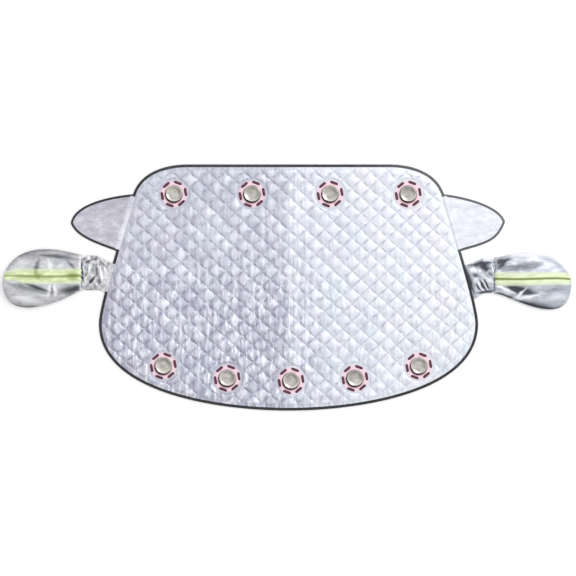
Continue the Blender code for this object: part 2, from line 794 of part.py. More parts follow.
def crown_height(at):
    """The height of the bag's top above its seam, along its length."""
    rising = min(1.0, at / CROWN_FULL_AT)
    smooth = rising * rising * (3 - 2 * rising)
    height = CROWN_AT_MOUTH + (CROWN_AT_MIDDLE - CROWN_AT_MOUTH) * smooth
    return height * math.sqrt(1 - at**CROWN_TIP_FADE)


def arch(share, roundness):
    """One in the middle of the bag, falling to nothing at its two edges."""
    off = 2 * share - 1
    return max(0.0, 1 - off * off) ** roundness


def upper_row(side, at):
    """The outer points of the upper half at one share of its length, from its lower edge to its upper one."""
    cover = COVERS[side]
    lower, upper = bag_edges(side, at)
    fade = min(1.0, (1 - at) / FOLDS_FADE_FROM_TIP)
    row = []
    for column, share in enumerate(bag_columns(lower, upper, cover.neck_y + cover.tape_y)):
        spot = lower.lerp(upper, share)
        bulge = arch(share, UPPER_ROUNDNESS)
        full = crown_height(at) * bulge
        sunk = fold_depth(side, spot) * bulge * fade
        if column % 2 and column not in TAPE_COLUMNS:
            sunk += PLEAT_DEPTH * bulge * max(0.0, 1 - at / PLEAT_FADE)
        level = UPPER_SEAM_LEVEL + max(full - sunk, LEAST_CROWN_SHARE * full)
        row.append(Vector((spot.x, spot.y, level)))
    return row


def lower_row(side, at):
    """The outer points of the lower half, which lies on the ground, at one share of its length."""
    lower, upper = bag_edges(side, at)
    fade = min(1.0, math.sqrt(LOWER_TIP_ROUNDNESS * (1 - at)))
    row = []
    for share in LOWER_SHARES:
        spot = lower.lerp(upper, share)
        level = LOWER_SEAM_LEVEL * (1 - arch(share, LOWER_ROUNDNESS) * fade)
        row.append(Vector((spot.x, spot.y, level)))
    return row


def bag_rows(side, row_at, seam_level):
    """The outer points of one shell, row by row from the mouth to the tip, on the right side."""
    rows = []
    for station in range(SHELL_STATIONS):
        at = math.sin(math.pi / 2 * station / SHELL_STATIONS)
        rows.append(row_at(side, at))
    tip, _ = bag_edges(side, 1)
    rows.append([Vector((tip.x, tip.y, seam_level))])
    mouth = [point - Vector((HEM_WIDTH, 0, 0)) for point in rows[0]]
    return [mouth] + rows


def grid_triangles(bm, rows):
    """Triangles between rows of vertices, all cut the same way; a row of one vertex closes to a point."""
    for row, after in zip(rows, rows[1:]):
        for index in range(len(row) - 1):
            if len(after) == 1:
                bm.faces.new((row[index], row[index + 1], after[0]))
                continue
            bm.faces.new((row[index], row[index + 1], after[index]))
            bm.faces.new((row[index + 1], after[index + 1], after[index]))


def border(rows):
    """The vertices round a grid, in order; its last row may be a single point."""
    low_edge = [row[0] for row in rows]
    high_edge = [row[-1] for row in rows[:-1]]
    return low_edge + rows[-1][1:] + high_edge[::-1] + rows[0][-2:0:-1]


def mirror_sign(side):
    return 1 if side == "right" else -1


def between_skins(name, outer, inner, side, finish):
    """One closed body between two grids of points, mirrored for the left side."""
    bm = bmesh.new()
    sign = mirror_sign(side)
    skins = []
    for rows in (outer, inner):
        skins.append([[bm.verts.new((sign * p.x, p.y, p.z)) for p in row] for row in rows])
        grid_triangles(bm, skins[-1])
    bridge_rings(bm, border(skins[0]), border(skins[1]))
    add_object(name, bm, finish, CLOTH_SMOOTH_BELOW)


def lifted(point, height):
    return point + Vector((0, 0, height))


def outward_ways(rows, upward):
    """The way out of the bag at each point of the rows, level along the seam."""
    bm = bmesh.new()
    verts = [[bm.verts.new(point) for point in row] for row in rows]
    grid_triangles(bm, verts)
    bmesh.ops.recalc_face_normals(bm, faces=bm.faces)
    bm.normal_update()
    middle = verts[0][len(verts[0]) // 2]
    turn = 1 if middle.normal.z * upward > 0 else -1
    ways = [[vert.normal * turn for vert in row] for row in verts]
    bm.free()
    for row in ways:
        for end in (row[0], row[-1]):
            end.z = 0
            end.normalize()
    return ways


def inner_rows(rows, upward):
    """The rows moved a wall's thickness into the bag; the hem keeps one section all along."""
    ways = outward_ways(rows, upward)
    ways[1] = ways[0]
    moved = []
    for row, row_ways in zip(rows, ways):
        moved.append([point - way * SHELL_WALL for point, way in zip(row, row_ways)])
    return moved


def neck_elastic(side, upper_inner, lower_inner, finish):
    """A flat elastic ring inside the hem of the bag's mouth."""
    bm = bmesh.new()
    sign = mirror_sign(side)
    loop = [point.yz for point in lower_inner[0]]
    loop += [point.yz for point in reversed(upper_inner[0][1:-1])]
    rings = []
    for setback in (ELASTIC_SETBACK, ELASTIC_SETBACK + ELASTIC_WIDTH):
        x = upper_inner[0][0].x + setback
        for inset in (GAP, GAP + ELASTIC_THICKNESS):
            ring = offset_path(loop, -inset, closed=True)
            rings.append([bm.verts.new((sign * x, point.x, point.y)) for point in ring])
    outside_near, inside_near, outside_far, inside_far = rings
    bridge_rings(bm, outside_near, outside_far)
    bridge_rings(bm, outside_far, inside_far)
    bridge_rings(bm, inside_far, inside_near)
    bridge_rings(bm, inside_near, outside_near)
    add_object(f"{side}_neck_elastic", bm, finish)


def reflective_tape(side, upper_outer, finish):
    """Two bright bands with a crease between them, lying on the bag's top from mouth to tip."""
    band = GAP + TAPE_THICKNESS
    crease = band - TAPE_CREASE_DEPTH
    under = []
    over = []
    for row in upper_outer[:-1]:
        spots = [row[column] for column in TAPE_COLUMNS]
        under.append([lifted(spot, GAP) for spot in spots])
        over.append([lifted(spot, height) for spot, height in zip(spots, (band, crease, crease, band))])
    between_skins(f"{side}_reflective_tape", over, under, side, finish)


def root_row(side, outward, level):
    """Points across the strap's root, following the panel's edge at this distance from it."""
    cover = COVERS[side]
    top = FLAP_BOTTOM_Y - cover.strap_top
    row = []
    for column in range(STRAP_COLUMNS):
        share = column / (STRAP_COLUMNS - 1)
        distance = SIDE.where_height(top - cover.strap_drop * (1 - share))
        way = SIDE.direction(distance)
        spot = SIDE.at(distance) + Vector((-way.y, way.x)) * outward
        row.append(Vector((spot.x, spot.y, level)))
    return row


def tucked_row(side, tuck):
    """Points across the strap's end, this far inside the bag's mouth."""
    neck = neck_of(side)
    row = []
    for column in range(STRAP_COLUMNS):
        share = 2 * column / (STRAP_COLUMNS - 1) - 1
        y = neck.y + share * STRAP_TUCK_HALF_WIDTH
        row.append(Vector((neck.x + tuck, y, STRAP_TUCK_LEVEL)))
    return row


def strap_rows(side):
    """The strap's underside, row by row from the panel to the inside of the bag's mouth."""
    if COVERS[side].over_binding:
        on_top = BINDING_HEIGHT + GAP
        rows = [root_row(side, -BINDING_WIDTH, on_top), root_row(side, STRAP_LIP, on_top)]
    else:
        rows = [root_row(side, GAP, STRAP_LEVEL)]
    root = rows[-1]
    mouth = tucked_row(side, -STRAP_LIP)
    steps = STRAP_RIDGES * STRAP_RIDGE_STEPS
    for step in range(1, steps):
        along = step / steps
        row = []
        for column in range(STRAP_COLUMNS):
            row.append(ridge_point(side, root[column], mouth[column], along, column))
        rows.append(row)
    rows.append(mouth)
    rows.append(tucked_row(side, STRAP_TUCK))
    return rows


def ridge_point(side, root, mouth, along, column):
    """A point of the scrunched stretch: it widens between its ends and rises and falls in ridges."""
    share = 2 * column / (STRAP_COLUMNS - 1) - 1
    spread = math.sin(math.pi * along)
    spot = root.lerp(mouth, along)
    wide = neck_of(side).y + share * STRAP_HALF_WIDTH
    spot.y += (wide - spot.y) * min(1.0, spread * along * STRAP_SPREAD)
    turns = STRAP_RIDGES * along + STRAP_RIDGE_SLANT * share * math.sin(2 * math.pi * along)
    wave = 0.5 - 0.5 * math.cos(2 * math.pi * turns)
    from_end = min(along, 1 - along)
    risen = min(1.0, from_end / STRAP_END_SHARE)
    base = STRAP_LEVEL + (spot.z - STRAP_LEVEL) * (1 - risen)
    spot.z = base + STRAP_RIDGE_HEIGHT * wave * risen * (1 - STRAP_SIDE_DROP * share * share)
    return spot


def mirror_strap(side, finish):
    under = strap_rows(side)
    over = [[lifted(point, STRAP_THICKNESS) for point in row] for row in under]
    between_skins(f"{side}_mirror_strap", over, under, side, finish)


def mirror_cover(side, cloth, elastic, tape):
    upper = bag_rows(side, upper_row, UPPER_SEAM_LEVEL)
    lower = bag_rows(side, lower_row, LOWER_SEAM_LEVEL)
    upper_inner = inner_rows(upper, 1)
    lower_inner = inner_rows(lower, -1)
    between_skins(f"{side}_mirror_cover_upper", upper, upper_inner, side, cloth)
    between_skins(f"{side}_mirror_cover_lower", lower, lower_inner, side, cloth)
    neck_elastic(side, upper_inner, lower_inner, elastic)
    reflective_tape(side, upper, tape)


def clear_scene():
    for old in list(bpy.data.objects):
        bpy.data.objects.remove(old)


def main():
    clear_scene()
    quilted_panel(QUILTED_FILM)
    panel_bindings(BLACK_TAPE)
    for side in ("left", "right"):
        flap_seam(side, SMOOTH_FILM)
        door_flap(side, SMOOTH_FILM)
        flap_binding(side, BLACK_TAPE)
        mirror_strap(side, BAG_CLOTH)
        mirror_cover(side, BAG_CLOTH, WHITE_ELASTIC, BRIGHT_TAPE)
    magnets(NICKEL, PATCH_CLOTH)


main()
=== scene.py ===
# %% [markdown]
# # A quilted windshield cover, dressed for its photograph
#
# The object is a silver frost cover for a car's windshield, laid out flat and seen from straight above.
# Its solids come packed as a frame. This lesson loads that frame, draws each soft piece again with a fine
# surface, gives each one a procedural finish, and sets up the light and the camera.

# %% Load the frame
import math

import bpy
import numpy as np
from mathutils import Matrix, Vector, kdtree


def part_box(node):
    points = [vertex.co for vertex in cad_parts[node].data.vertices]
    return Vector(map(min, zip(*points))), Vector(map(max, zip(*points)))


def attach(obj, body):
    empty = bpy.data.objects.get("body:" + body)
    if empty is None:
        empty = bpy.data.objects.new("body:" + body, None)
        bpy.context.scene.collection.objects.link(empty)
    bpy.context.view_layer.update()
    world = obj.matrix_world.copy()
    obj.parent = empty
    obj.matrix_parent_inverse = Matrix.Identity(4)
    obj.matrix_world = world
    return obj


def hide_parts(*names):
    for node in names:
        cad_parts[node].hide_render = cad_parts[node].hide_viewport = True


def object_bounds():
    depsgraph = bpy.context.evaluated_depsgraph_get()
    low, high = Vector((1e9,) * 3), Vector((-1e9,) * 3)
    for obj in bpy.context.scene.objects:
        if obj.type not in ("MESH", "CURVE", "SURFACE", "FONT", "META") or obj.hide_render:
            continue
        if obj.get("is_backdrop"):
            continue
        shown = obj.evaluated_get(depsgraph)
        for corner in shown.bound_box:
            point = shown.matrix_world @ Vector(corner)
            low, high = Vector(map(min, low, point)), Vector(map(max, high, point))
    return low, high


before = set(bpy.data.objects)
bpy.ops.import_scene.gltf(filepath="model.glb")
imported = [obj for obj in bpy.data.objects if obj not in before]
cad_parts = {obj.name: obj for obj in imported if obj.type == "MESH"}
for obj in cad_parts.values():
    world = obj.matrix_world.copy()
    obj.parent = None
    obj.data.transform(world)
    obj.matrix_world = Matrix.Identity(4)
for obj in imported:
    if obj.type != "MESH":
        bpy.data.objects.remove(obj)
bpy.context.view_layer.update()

scene = bpy.context.scene
scene.view_settings.view_transform = "Standard"

# %% [markdown]
# ## The camera
#
# The photograph looks straight down. A long lens far above keeps the sides from leaning, and the height
# follows from one measure: how many pixels wide the panel is. A camera that looks down needs no turn.

# %% Camera
PHOTO_SIDE = 576
PANEL_PIXELS = 379
PANEL_MIDDLE_PIXEL = (288.5, 287.5)
LENS = 100
SENSOR = 36
VIEW_REACH = 100

edge_low, edge_high = (Vector(corner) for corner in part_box("bottom_binding"))
METRES_A_PIXEL = (edge_high.x - edge_low.x) / PANEL_PIXELS
camera = bpy.data.objects.new("camera", bpy.data.cameras.new("camera"))
camera.data.lens = LENS
camera.data.sensor_width = SENSOR
camera.data.clip_end = VIEW_REACH
camera.location = (
    (PHOTO_SIDE / 2 - PANEL_MIDDLE_PIXEL[0]) * METRES_A_PIXEL,
    (PANEL_MIDDLE_PIXEL[1] - PHOTO_SIDE / 2) * METRES_A_PIXEL,
    PHOTO_SIDE * METRES_A_PIXEL * LENS / SENSOR,
)
scene.collection.objects.link(camera)
scene.camera = camera
print("camera", round(camera.location.z, 3), "m up,", round(METRES_A_PIXEL * 1000, 3), "mm a pixel")

# %% [markdown]
# ## Shader maths as Python
#
# A finish is a small sum: noise times a number, one minus a mask. Written as nodes and links that sum is
# hard to read, so a node's output is wrapped in a class whose operators add the Math nodes. Everything
# that isn't plain maths comes from one method that takes the node's type, its settings and its inputs.

# %% Socket maths
class Link:
    """A node's output, on which Python's operators work."""

    def __init__(self, nodes, socket):
        self.nodes = nodes
        self.socket = socket

    def maths(self, operation, first, second=None):
        inputs = {0: first} if second is None else {0: first, 1: second}
        return self.nodes.node("ShaderNodeMath", {"operation": operation}, inputs)

    def __add__(self, other):
        return self.maths("ADD", self, other)

    def __sub__(self, other):
        return self.maths("SUBTRACT", self, other)

    def __rsub__(self, other):
        return self.maths("SUBTRACT", other, self)

    def __mul__(self, other):
        return self.maths("MULTIPLY", self, other)

    def __truediv__(self, other):
        return self.maths("DIVIDE", self, other)

    def __abs__(self):
        return self.maths("ABSOLUTE", self)

    __radd__ = __add__
    __rmul__ = __mul__

    def sine(self):
        return self.maths("SINE", self)


class Nodes:
    """A node tree, with one method that adds any node."""

    def __init__(self, tree):
        self.tree = tree

    def node(self, kind, settings, inputs, output=0):
        made = self.tree.nodes.new(kind)
        for name, value in settings.items():
            if name == "stops":
                self.set_stops(made.color_ramp, value)
            else:
                setattr(made, name, value)
        for name, value in inputs.items():
            self.feed(made.inputs[name], value)
        return Link(self, made.outputs[output])

    def set_stops(self, ramp, stops):
        while len(ramp.elements) < len(stops):
            ramp.elements.new(1.0)
        for element, (place, colour) in zip(ramp.elements, stops):
            element.position = place
            element.color = (*colour, 1.0)

    def feed(self, socket, value):
        if isinstance(value, Link):
            self.tree.links.new(value.socket, socket)
        elif socket.type == "RGBA" and len(value) == 3:
            socket.default_value = (*value, 1.0)
        else:
            socket.default_value = value

    def place(self):
        """Where on the object a point is, in metres."""
        return self.node("ShaderNodeTexCoord", {}, {}, "Object")

    def axes(self, vector):
        split = self.node("ShaderNodeSeparateXYZ", {}, {0: vector})
        return [Link(self, socket) for socket in split.socket.node.outputs]

    def stretched(self, vector, scale):
        return self.node("ShaderNodeVectorMath", {"operation": "MULTIPLY"}, {0: vector, 1: scale})

    def noise(self, vector, scale, detail, roughness=0.5):
        inputs = {"Vector": vector, "Scale": scale, "Detail": detail, "Roughness": roughness}
        return self.node("ShaderNodeTexNoise", {}, inputs)

    def cells(self, vector, scale):
        """Small random cells: how far a point is from the edge of its own."""
        inputs = {"Vector": vector, "Scale": scale}
        return self.node("ShaderNodeTexVoronoi", {"feature": "DISTANCE_TO_EDGE"}, inputs)

    def between(self, value, low, high):
        """0 below low, 1 above high, and smooth in between."""
        inputs = {"Value": value, "From Min": low, "From Max": high}
        return self.node("ShaderNodeMapRange", {"interpolation_type": "SMOOTHSTEP"}, inputs)

    def mix(self, factor, first, second):
        return self.node("ShaderNodeMix", {"data_type": "RGBA"}, {0: factor, 6: first, 7: second}, 2)

    def ramp(self, value, stops):
        return self.node("ShaderNodeValToRGB", {"stops": stops}, {0: value})

    def attribute(self, name):
        return self.node("ShaderNodeAttribute", {"attribute_name": name}, {}, "Fac")

    def bump(self, height, distance, strength):
        inputs = {"Height": height, "Distance": distance, "Strength": strength}
        return self.node("ShaderNodeBump", {}, inputs)


class Surface(Nodes):
    """A material that is one Principled shader, fed by nodes."""

    def __init__(self, name):
        self.material = bpy.data.materials.new(name)
        self.material.use_nodes = True
        super().__init__(self.material.node_tree)
        self.shader = self.tree.nodes["Principled BSDF"]

    def set(self, **sockets):
        for name, value in sockets.items():
            self.feed(self.shader.inputs[name.replace("_", " ").title()], value)
        return self


print("shader maths ready")

# %% [markdown]
# ## Light and floor
#
# The photograph has soft light from above, a little stronger from the upper right: the discs' inner
# rims shine at the lower left. Silver film shows what it reflects, so the studio is brighter overhead
# than at its sides, and quilted slopes then turn darker by themselves. The floor is plain and pale.

# %% Light and floor
OVERHEAD = 1.15
SIDEWAYS = 0.55
LEAN = 0.18
FLOOR_WHITE = 0.88
FLOOR_LIFT = 0.12
LIFTED_RAYS = ("Camera", "Glossy", "Transmission")
FLOOR_SIZE = 14.0
FLOOR_LEVEL = -0.0006
KEY_PLACE = (1.9, 1.7, 2.9)
KEY_SIZE = 1.6
KEY_POWER = 22

scene.world = bpy.data.worlds.new("studio")
scene.world.use_nodes = True
studio = Nodes(scene.world.node_tree)
heading = studio.node("ShaderNodeTexCoord", {}, {}, "Generated")
to_right, to_back, upward = studio.axes(heading)
backdrop = SIDEWAYS + studio.between(upward, 0.0, 1.0) * (OVERHEAD - SIDEWAYS)
backdrop = backdrop + (to_right + to_back) * LEAN
studio.feed(scene.world.node_tree.nodes["Background"].inputs["Color"], backdrop)

key = bpy.data.objects.new("key_light", bpy.data.lights.new("key_light", "AREA"))
key.data.size = KEY_SIZE
key.data.energy = KEY_POWER
key.location = KEY_PLACE
key.rotation_euler = Vector(KEY_PLACE).to_track_quat("Z", "Y").to_euler()
scene.collection.objects.link(key)

white = Surface("pale_floor")
seen, mirrored_in, seen_through = (
    white.node("ShaderNodeLightPath", {}, {}, f"Is {kind} Ray") for kind in LIFTED_RAYS
)
lift = (seen + mirrored_in + seen_through) * FLOOR_LIFT
white.set(base_color=(FLOOR_WHITE,) * 3, roughness=0.9, emission_color=lift, emission_strength=1.0)
half = FLOOR_SIZE / 2
floor_mesh = bpy.data.meshes.new("floor")
floor_corners = [(-half, -half), (half, -half), (half, half), (-half, half)]
floor_mesh.from_pydata([(x, y, FLOOR_LEVEL) for x, y in floor_corners], [], [(0, 1, 2, 3)])
floor_mesh.materials.append(white.material)
floor = bpy.data.objects.new("floor", floor_mesh)
scene.collection.objects.link(floor)
floor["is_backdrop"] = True
print("studio from", SIDEWAYS, "at the sides to", OVERHEAD, "overhead")

# %% [markdown]
# ## Curves that the pieces share
#
# The panel, its bindings, the flaps and the mirror covers all start from a few smooth curves. Each is
# drawn from its ends and handles in metres, and read as a fine line of points. The left half of the
# panel is the right one mirrored.

# %% Curve helpers
def bezier(start, start_handle, end_handle, end, steps=160):
    at = np.linspace(0, 1, steps + 1)[:, None]
    rest = 1 - at
    corners = [np.array(corner, float) for corner in (start, start_handle, end_handle, end)]
    weights = (rest**3, 3 * rest**2 * at, 3 * rest * at**2, at**3)
    return sum(corner * weight for corner, weight in zip(corners, weights))


def distances(points):
    """How far along the line each of its points is."""
    steps = np.linalg.norm(np.diff(points, axis=0), axis=1)
    return np.concatenate([[0], np.cumsum(steps)])


def respaced(points, step):
    """The same line with evenly spaced points."""
    along = distances(points)
    wanted = np.linspace(0, along[-1], max(2, round(along[-1] / step)) + 1)
    return np.stack([np.interp(wanted, along, points[:, axis]) for axis in (0, 1)], axis=1)


def normals(points, closed=False):
    """Unit vectors to the right of the way along the line."""
    if closed:
        ways = np.roll(points, -1, axis=0) - np.roll(points, 1, axis=0)
    else:
        ways = np.gradient(points, axis=0)
    ways = ways / np.linalg.norm(ways, axis=1, keepdims=True)
    return np.stack([ways[:, 1], -ways[:, 0]], axis=1)


def mirrored(points):
    """The line on the left side, still run with its outside on the right hand."""
    return (points * (-1, 1))[::-1]


def on_side(points, side):
    return points if side == "right" else mirrored(points)


print("curve helpers ready")

# %% [markdown]
# ## Smooth steps and bumps
#
# Shapes need the two tools that finishes have: a smooth step from 0 to 1, and smooth random bumps. The
# bumps come from a table of random numbers with a fixed seed, so they are the same in each run.

# %% Steps and bumps
BUMP_TABLE = 256


def smooth(value, low, high):
    """0 below low, 1 above high, and smooth in between."""
    share = np.clip((value - low) / (high - low), 0, 1)
    return share * share * (3 - 2 * share)


def bumps(x, y, seed):
    """Smooth random bumps from -1 to 1, about one unit apart."""
    table = np.random.default_rng(seed).uniform(-1, 1, (BUMP_TABLE, BUMP_TABLE))
    left, low = np.floor(x).astype(int), np.floor(y).astype(int)
    across, up = smooth(x - left, 0, 1), smooth(y - low, 0, 1)
    corners = [
        [table[(left + i) % BUMP_TABLE, (low + j) % BUMP_TABLE] for j in (0, 1)] for i in (0, 1)
    ]
    low_row = corners[0][0] * (1 - across) + corners[1][0] * across
    high_row = corners[0][1] * (1 - across) + corners[1][1] * across
    return low_row * (1 - up) + high_row * up


def sized_bumps(x, y, size, seed):
    """The same bumps at a real size, (across, up) in metres."""
    return bumps(x / size[0], y / size[1], seed)


print("steps and bumps ready")

# %% [markdown]
# ## The panel's outline
#
# The right half is three curves: the round upper corner, the slanted side and the deep bottom. What is
# sewn to the side, such as a flap or a strap, finds its place by how far down this line it is.

# %% The panel's outline
PANEL_WIDTH = edge_high.x - edge_low.x
PANEL_HEIGHT = 0.975
TOP_Y = PANEL_HEIGHT / 2
SHOULDER = np.array((PANEL_WIDTH / 2 - 0.133, TOP_Y - 0.1245))
WIDEST = np.array((PANEL_WIDTH / 2, -TOP_Y + 0.343))
CORNER_X = SHOULDER[0] - 0.219
DOWN_SIDE = np.array((0.29, -1)) / math.hypot(0.29, 1)
FLAP_TOP_Y = TOP_Y - 0.1185
FLAP_BOTTOM_Y = FLAP_TOP_Y - 0.2245
FINE_STEP = 0.002

corner_curve = bezier(
    (CORNER_X, TOP_Y), (CORNER_X + 0.072, TOP_Y), SHOULDER - DOWN_SIDE * 0.108, SHOULDER
)
side_curve = bezier(SHOULDER, SHOULDER + DOWN_SIDE * 0.170, WIDEST + (0, 0.072), WIDEST)
bottom_curve = bezier(WIDEST, WIDEST - (0, 0.270), (0.291, -TOP_Y), (0, -TOP_Y))
half_outline = np.concatenate([[(0, TOP_Y)], corner_curve, side_curve[1:], bottom_curve[1:]])
half_outline = respaced(half_outline, FINE_STEP)
half_along = distances(half_outline)
outline = np.concatenate([half_outline[::-1], mirrored(half_outline[::-1])[1:-1]])


def height_at(y):
    """How far down the right side the outline passes this height."""
    return float(np.interp(-y, -half_outline[:, 1], half_along))


def side_between(start, end, step=0.004):
    """The right side's outline between two distances down it."""
    wanted = np.linspace(start, end, max(2, round((end - start) / step)) + 1)
    return np.stack([np.interp(wanted, half_along, half_outline[:, axis]) for axis in (0, 1)], axis=1)


def point_at(distance):
    """The outline's point this far down the right side."""
    return np.array([np.interp(distance, half_along, half_outline[:, axis]) for axis in (0, 1)])


FLAP_TOP_AT = height_at(FLAP_TOP_Y)
FLAP_BOTTOM_AT = height_at(FLAP_BOTTOM_Y)
print("outline", len(outline), "points,", round(2 * half_along[-1], 3), "m round")

# %% [markdown]
# ## From points to pieces
#
# Every piece is a mesh whose points are already in place, so its object stays at the origin. One helper
# makes the object, gives it its finish, hangs it under the root and hides the frame's solids that it
# stands for.

# %% Piece helpers
SHARP_FOLD = math.radians(60)


def piece_of(name, points, faces, surface, nodes, sharp=SHARP_FOLD):
    mesh = bpy.data.meshes.new(name)
    mesh.from_pydata([tuple(point) for point in points], [], [tuple(face) for face in faces])
    mesh.validate()
    mesh.shade_smooth()
    mesh.set_sharp_from_angle(angle=sharp)
    mesh.materials.append(surface.material)
    made = bpy.data.objects.new(name, mesh)
    scene.collection.objects.link(made)
    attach(made, "root")
    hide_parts(*nodes)
    return made


def paint(piece, name, values):
    """Stores a number on each point, for the finish to read."""
    layer = piece.data.attributes.new(name, "FLOAT", "POINT")
    layer.data.foreach_set("value", np.ravel(values))


def strip_mesh(path, section, closed=False):
    """A cross-section of (outward, level) points carried along a line of points."""
    out = normals(path, closed)
    points = []
    for outward, level in section:
        ring = path + out * outward
        points.append(np.column_stack([ring, np.full(len(path), level)]))
    count = len(path)
    faces = []
    for line in range(len(section)):
        first, second = line * count, (line + 1) % len(section) * count
        for index in range(count if closed else count - 1):
            after = (index + 1) % count
            faces.append((first + index, first + after, second + after, second + index))
    if not closed:
        faces.append([line * count for line in range(len(section))])
        faces.append([line * count + count - 1 for line in reversed(range(len(section)))])
    return np.concatenate(points), faces


def grid_faces(rows, columns, start=0, wrap=False):
    """Quads between rows of points; wrap joins each row's end to its start."""
    faces = []
    for row in range(rows - 1):
        for column in range(columns if wrap else columns - 1):
            after = (column + 1) % columns
            low, high = start + row * columns, start + (row + 1) * columns
            faces.append((low + column, low + after, high + after, high + column))
    return faces


def two_skins(over, under):
    """One closed mesh between two grids of points of the same shape."""
    rows, columns = over.shape[:2]
    count = rows * columns
    faces = grid_faces(rows, columns)
    faces += [tuple(reversed(face)) for face in grid_faces(rows, columns, count)]
    border = list(range(columns))
    border += [row * columns + columns - 1 for row in range(1, rows)]
    border += [(rows - 1) * columns + column for column in reversed(range(columns - 1))]
    border += [row * columns for row in reversed(range(1, rows - 1))]
    for first, second in zip(border, border[1:] + border[:1]):
        faces.append((second, first, first + count, second + count))
    return np.concatenate([over.reshape(-1, 3), under.reshape(-1, 3)]), faces


print("piece helpers ready")

# %% [markdown]
# ## Silver film
#
# The quilted face is metallised film. It reflects softly, has a lavender tint, and is covered in fine
# upright crinkles from being folded. One ramp across the width paints shade over the left half and light
# over the right half, brightest in a band beside the middle fold. The crinkles come from noise that is
# squeezed sideways, so its bumps stand upright, and the same noise paints their highlights and shade into
# the colour. Painted highlights and shade also mark each cell's oval, the stitch lines, a crumpled area
# at the lower left and the creases by the middle fold.

# %% Silver film finishes
HALF_REACH = PANEL_WIDTH / 2
CELL_WIDTH = 0.0714
CELL_HEIGHT = 0.0655
MIDDLE_CREASES = (-0.001, 0.019, 0.036, 0.063)
CREASE_REACH = 0.0028
# The tones for the crinkles, the crumpled corner, the ovals and round them, the stitches and the fold are
# painted highlights and painted shade.
FILM_TONES = {
    "bluish": (0.64, 0.78, 0.82),
    "pinkish": (0.84, 0.74, 0.84),
    "lower_left": (0.38, 0.38, 0.50),
    "bright_cell": (0.90, 0.91, 0.98),
    "dull_cell": (0.36, 0.36, 0.46),
    "crinkle_highlight": (0.92, 0.93, 1.00),
    "crinkle_shade": (0.32, 0.32, 0.43),
    "crumpled_corner_shade": (0.28, 0.28, 0.37),
    "oval": (0.90, 0.91, 0.99),
    "oval_surround_shade": (0.30, 0.30, 0.40),
    "stitch": (0.34, 0.34, 0.44),
    "fold": (0.36, 0.36, 0.46),
}


def shade_and_light_across(surface, x):
    """Painted shade across the film's left half and painted light across its right, brightest by the
    middle fold.
    """
    share = (x + HALF_REACH) / PANEL_WIDTH
    return surface.ramp(
        share,
        [
            (0.00, (0.50, 0.50, 0.60)),
            (0.12, (0.555, 0.56, 0.655)),
            (0.485, (0.545, 0.56, 0.65)),
            (0.515, (0.81, 0.84, 0.92)),
            (0.56, (0.70, 0.73, 0.82)),
            (1.00, (0.79, 0.81, 0.87)),
        ],
    )


def crease_lines(surface, x):
    """1 on a few upright creases beside the middle fold."""
    lines = None
    for place in MIDDLE_CREASES:
        line = 1 - surface.between(abs(x - place), 0.0, CREASE_REACH)
        lines = line if lines is None else lines.maths("MAXIMUM", lines, line)
    return lines * surface.between(surface.noise(surface.place(), 7.0, 1.0), 0.36, 0.54)


def quilted_film():
    film = Surface("quilted_film")
    place = film.place()
    x, y, _ = film.axes(place)
    upright = film.noise(film.stretched(place, (86, 21, 50)), 1.0, 3.0, 0.6)
    crumple = film.noise(film.stretched(place, (70, 46, 60)), 1.0, 4.0, 0.6)
    tint = film.noise(place, 8.0, 1.0)
    rightness = film.between(x, -0.10, 0.25)
    lowness = film.between(y, 0.25, -0.15)
    crinkled = (1 - rightness * 0.60) * (0.45 + lowness * 0.55)
    groove = film.attribute("stitch")
    cell = film.attribute("cell")
    oval = film.attribute("oval")
    crumpled_corner_shade = film.between(x, -0.60, -0.74) * film.between(abs(y + 0.09), 0.20, 0.06)
    # Painted shade on the left half and painted light on the right, from the ramp.
    tone = shade_and_light_across(film, x)
    tone = film.mix(film.between(tint, 0.45, 0.62) * 0.30, tone, FILM_TONES["bluish"])
    tone = film.mix(film.between(tint, 0.48, 0.34) * 0.22, tone, FILM_TONES["pinkish"])
    tone = film.mix(lowness * (1 - rightness) * 0.22, tone, FILM_TONES["lower_left"])
    bright = film.between(cell, 0.55, 1.0) * (0.30 - rightness * 0.18)
    tone = film.mix(bright, tone, FILM_TONES["bright_cell"])
    dull = film.between(cell, 0.45, 0.0) * (0.22 - rightness * 0.14)
    tone = film.mix(dull, tone, FILM_TONES["dull_cell"])
    # Painted highlights and painted shade on the upright crinkles.
    crinkle_highlight_mask = film.between(upright, 0.52, 0.61) * crinkled * 0.80
    tone = film.mix(crinkle_highlight_mask, tone, FILM_TONES["crinkle_highlight"])
    crinkle_shade_mask = film.between(upright, 0.48, 0.38) * crinkled * 0.68
    tone = film.mix(crinkle_shade_mask, tone, FILM_TONES["crinkle_shade"])
    # Painted shade on the crumpled area near the lower left edge.
    tone = film.mix(crumpled_corner_shade * film.between(crumple, 0.35, 0.60) * 0.34, tone, FILM_TONES["crumpled_corner_shade"])
    # Painted highlight on each cell's oval and painted shade round it, mostly on the left half.
    tone = film.mix(oval * (0.34 - rightness * 0.30), tone, FILM_TONES["oval"])
    tone = film.mix((1 - oval) * (0.13 - rightness * 0.11), tone, FILM_TONES["oval_surround_shade"])
    # Painted shade along the stitch lines.
    tone = film.mix(groove * (0.34 + rightness * 0.08), tone, FILM_TONES["stitch"])
    # Painted shade in the creases beside the middle fold.
    tone = film.mix(crease_lines(film, x) * 0.40, tone, FILM_TONES["fold"])
    relief = upright * crinkled * 1.3 + crumple * 0.5 - groove * 0.4
    return film.set(
        base_color=tone,
        metallic=0.55,
        roughness=0.36 + crumple * 0.20,
        normal=film.bump(relief, 0.0016, 0.6),
    )


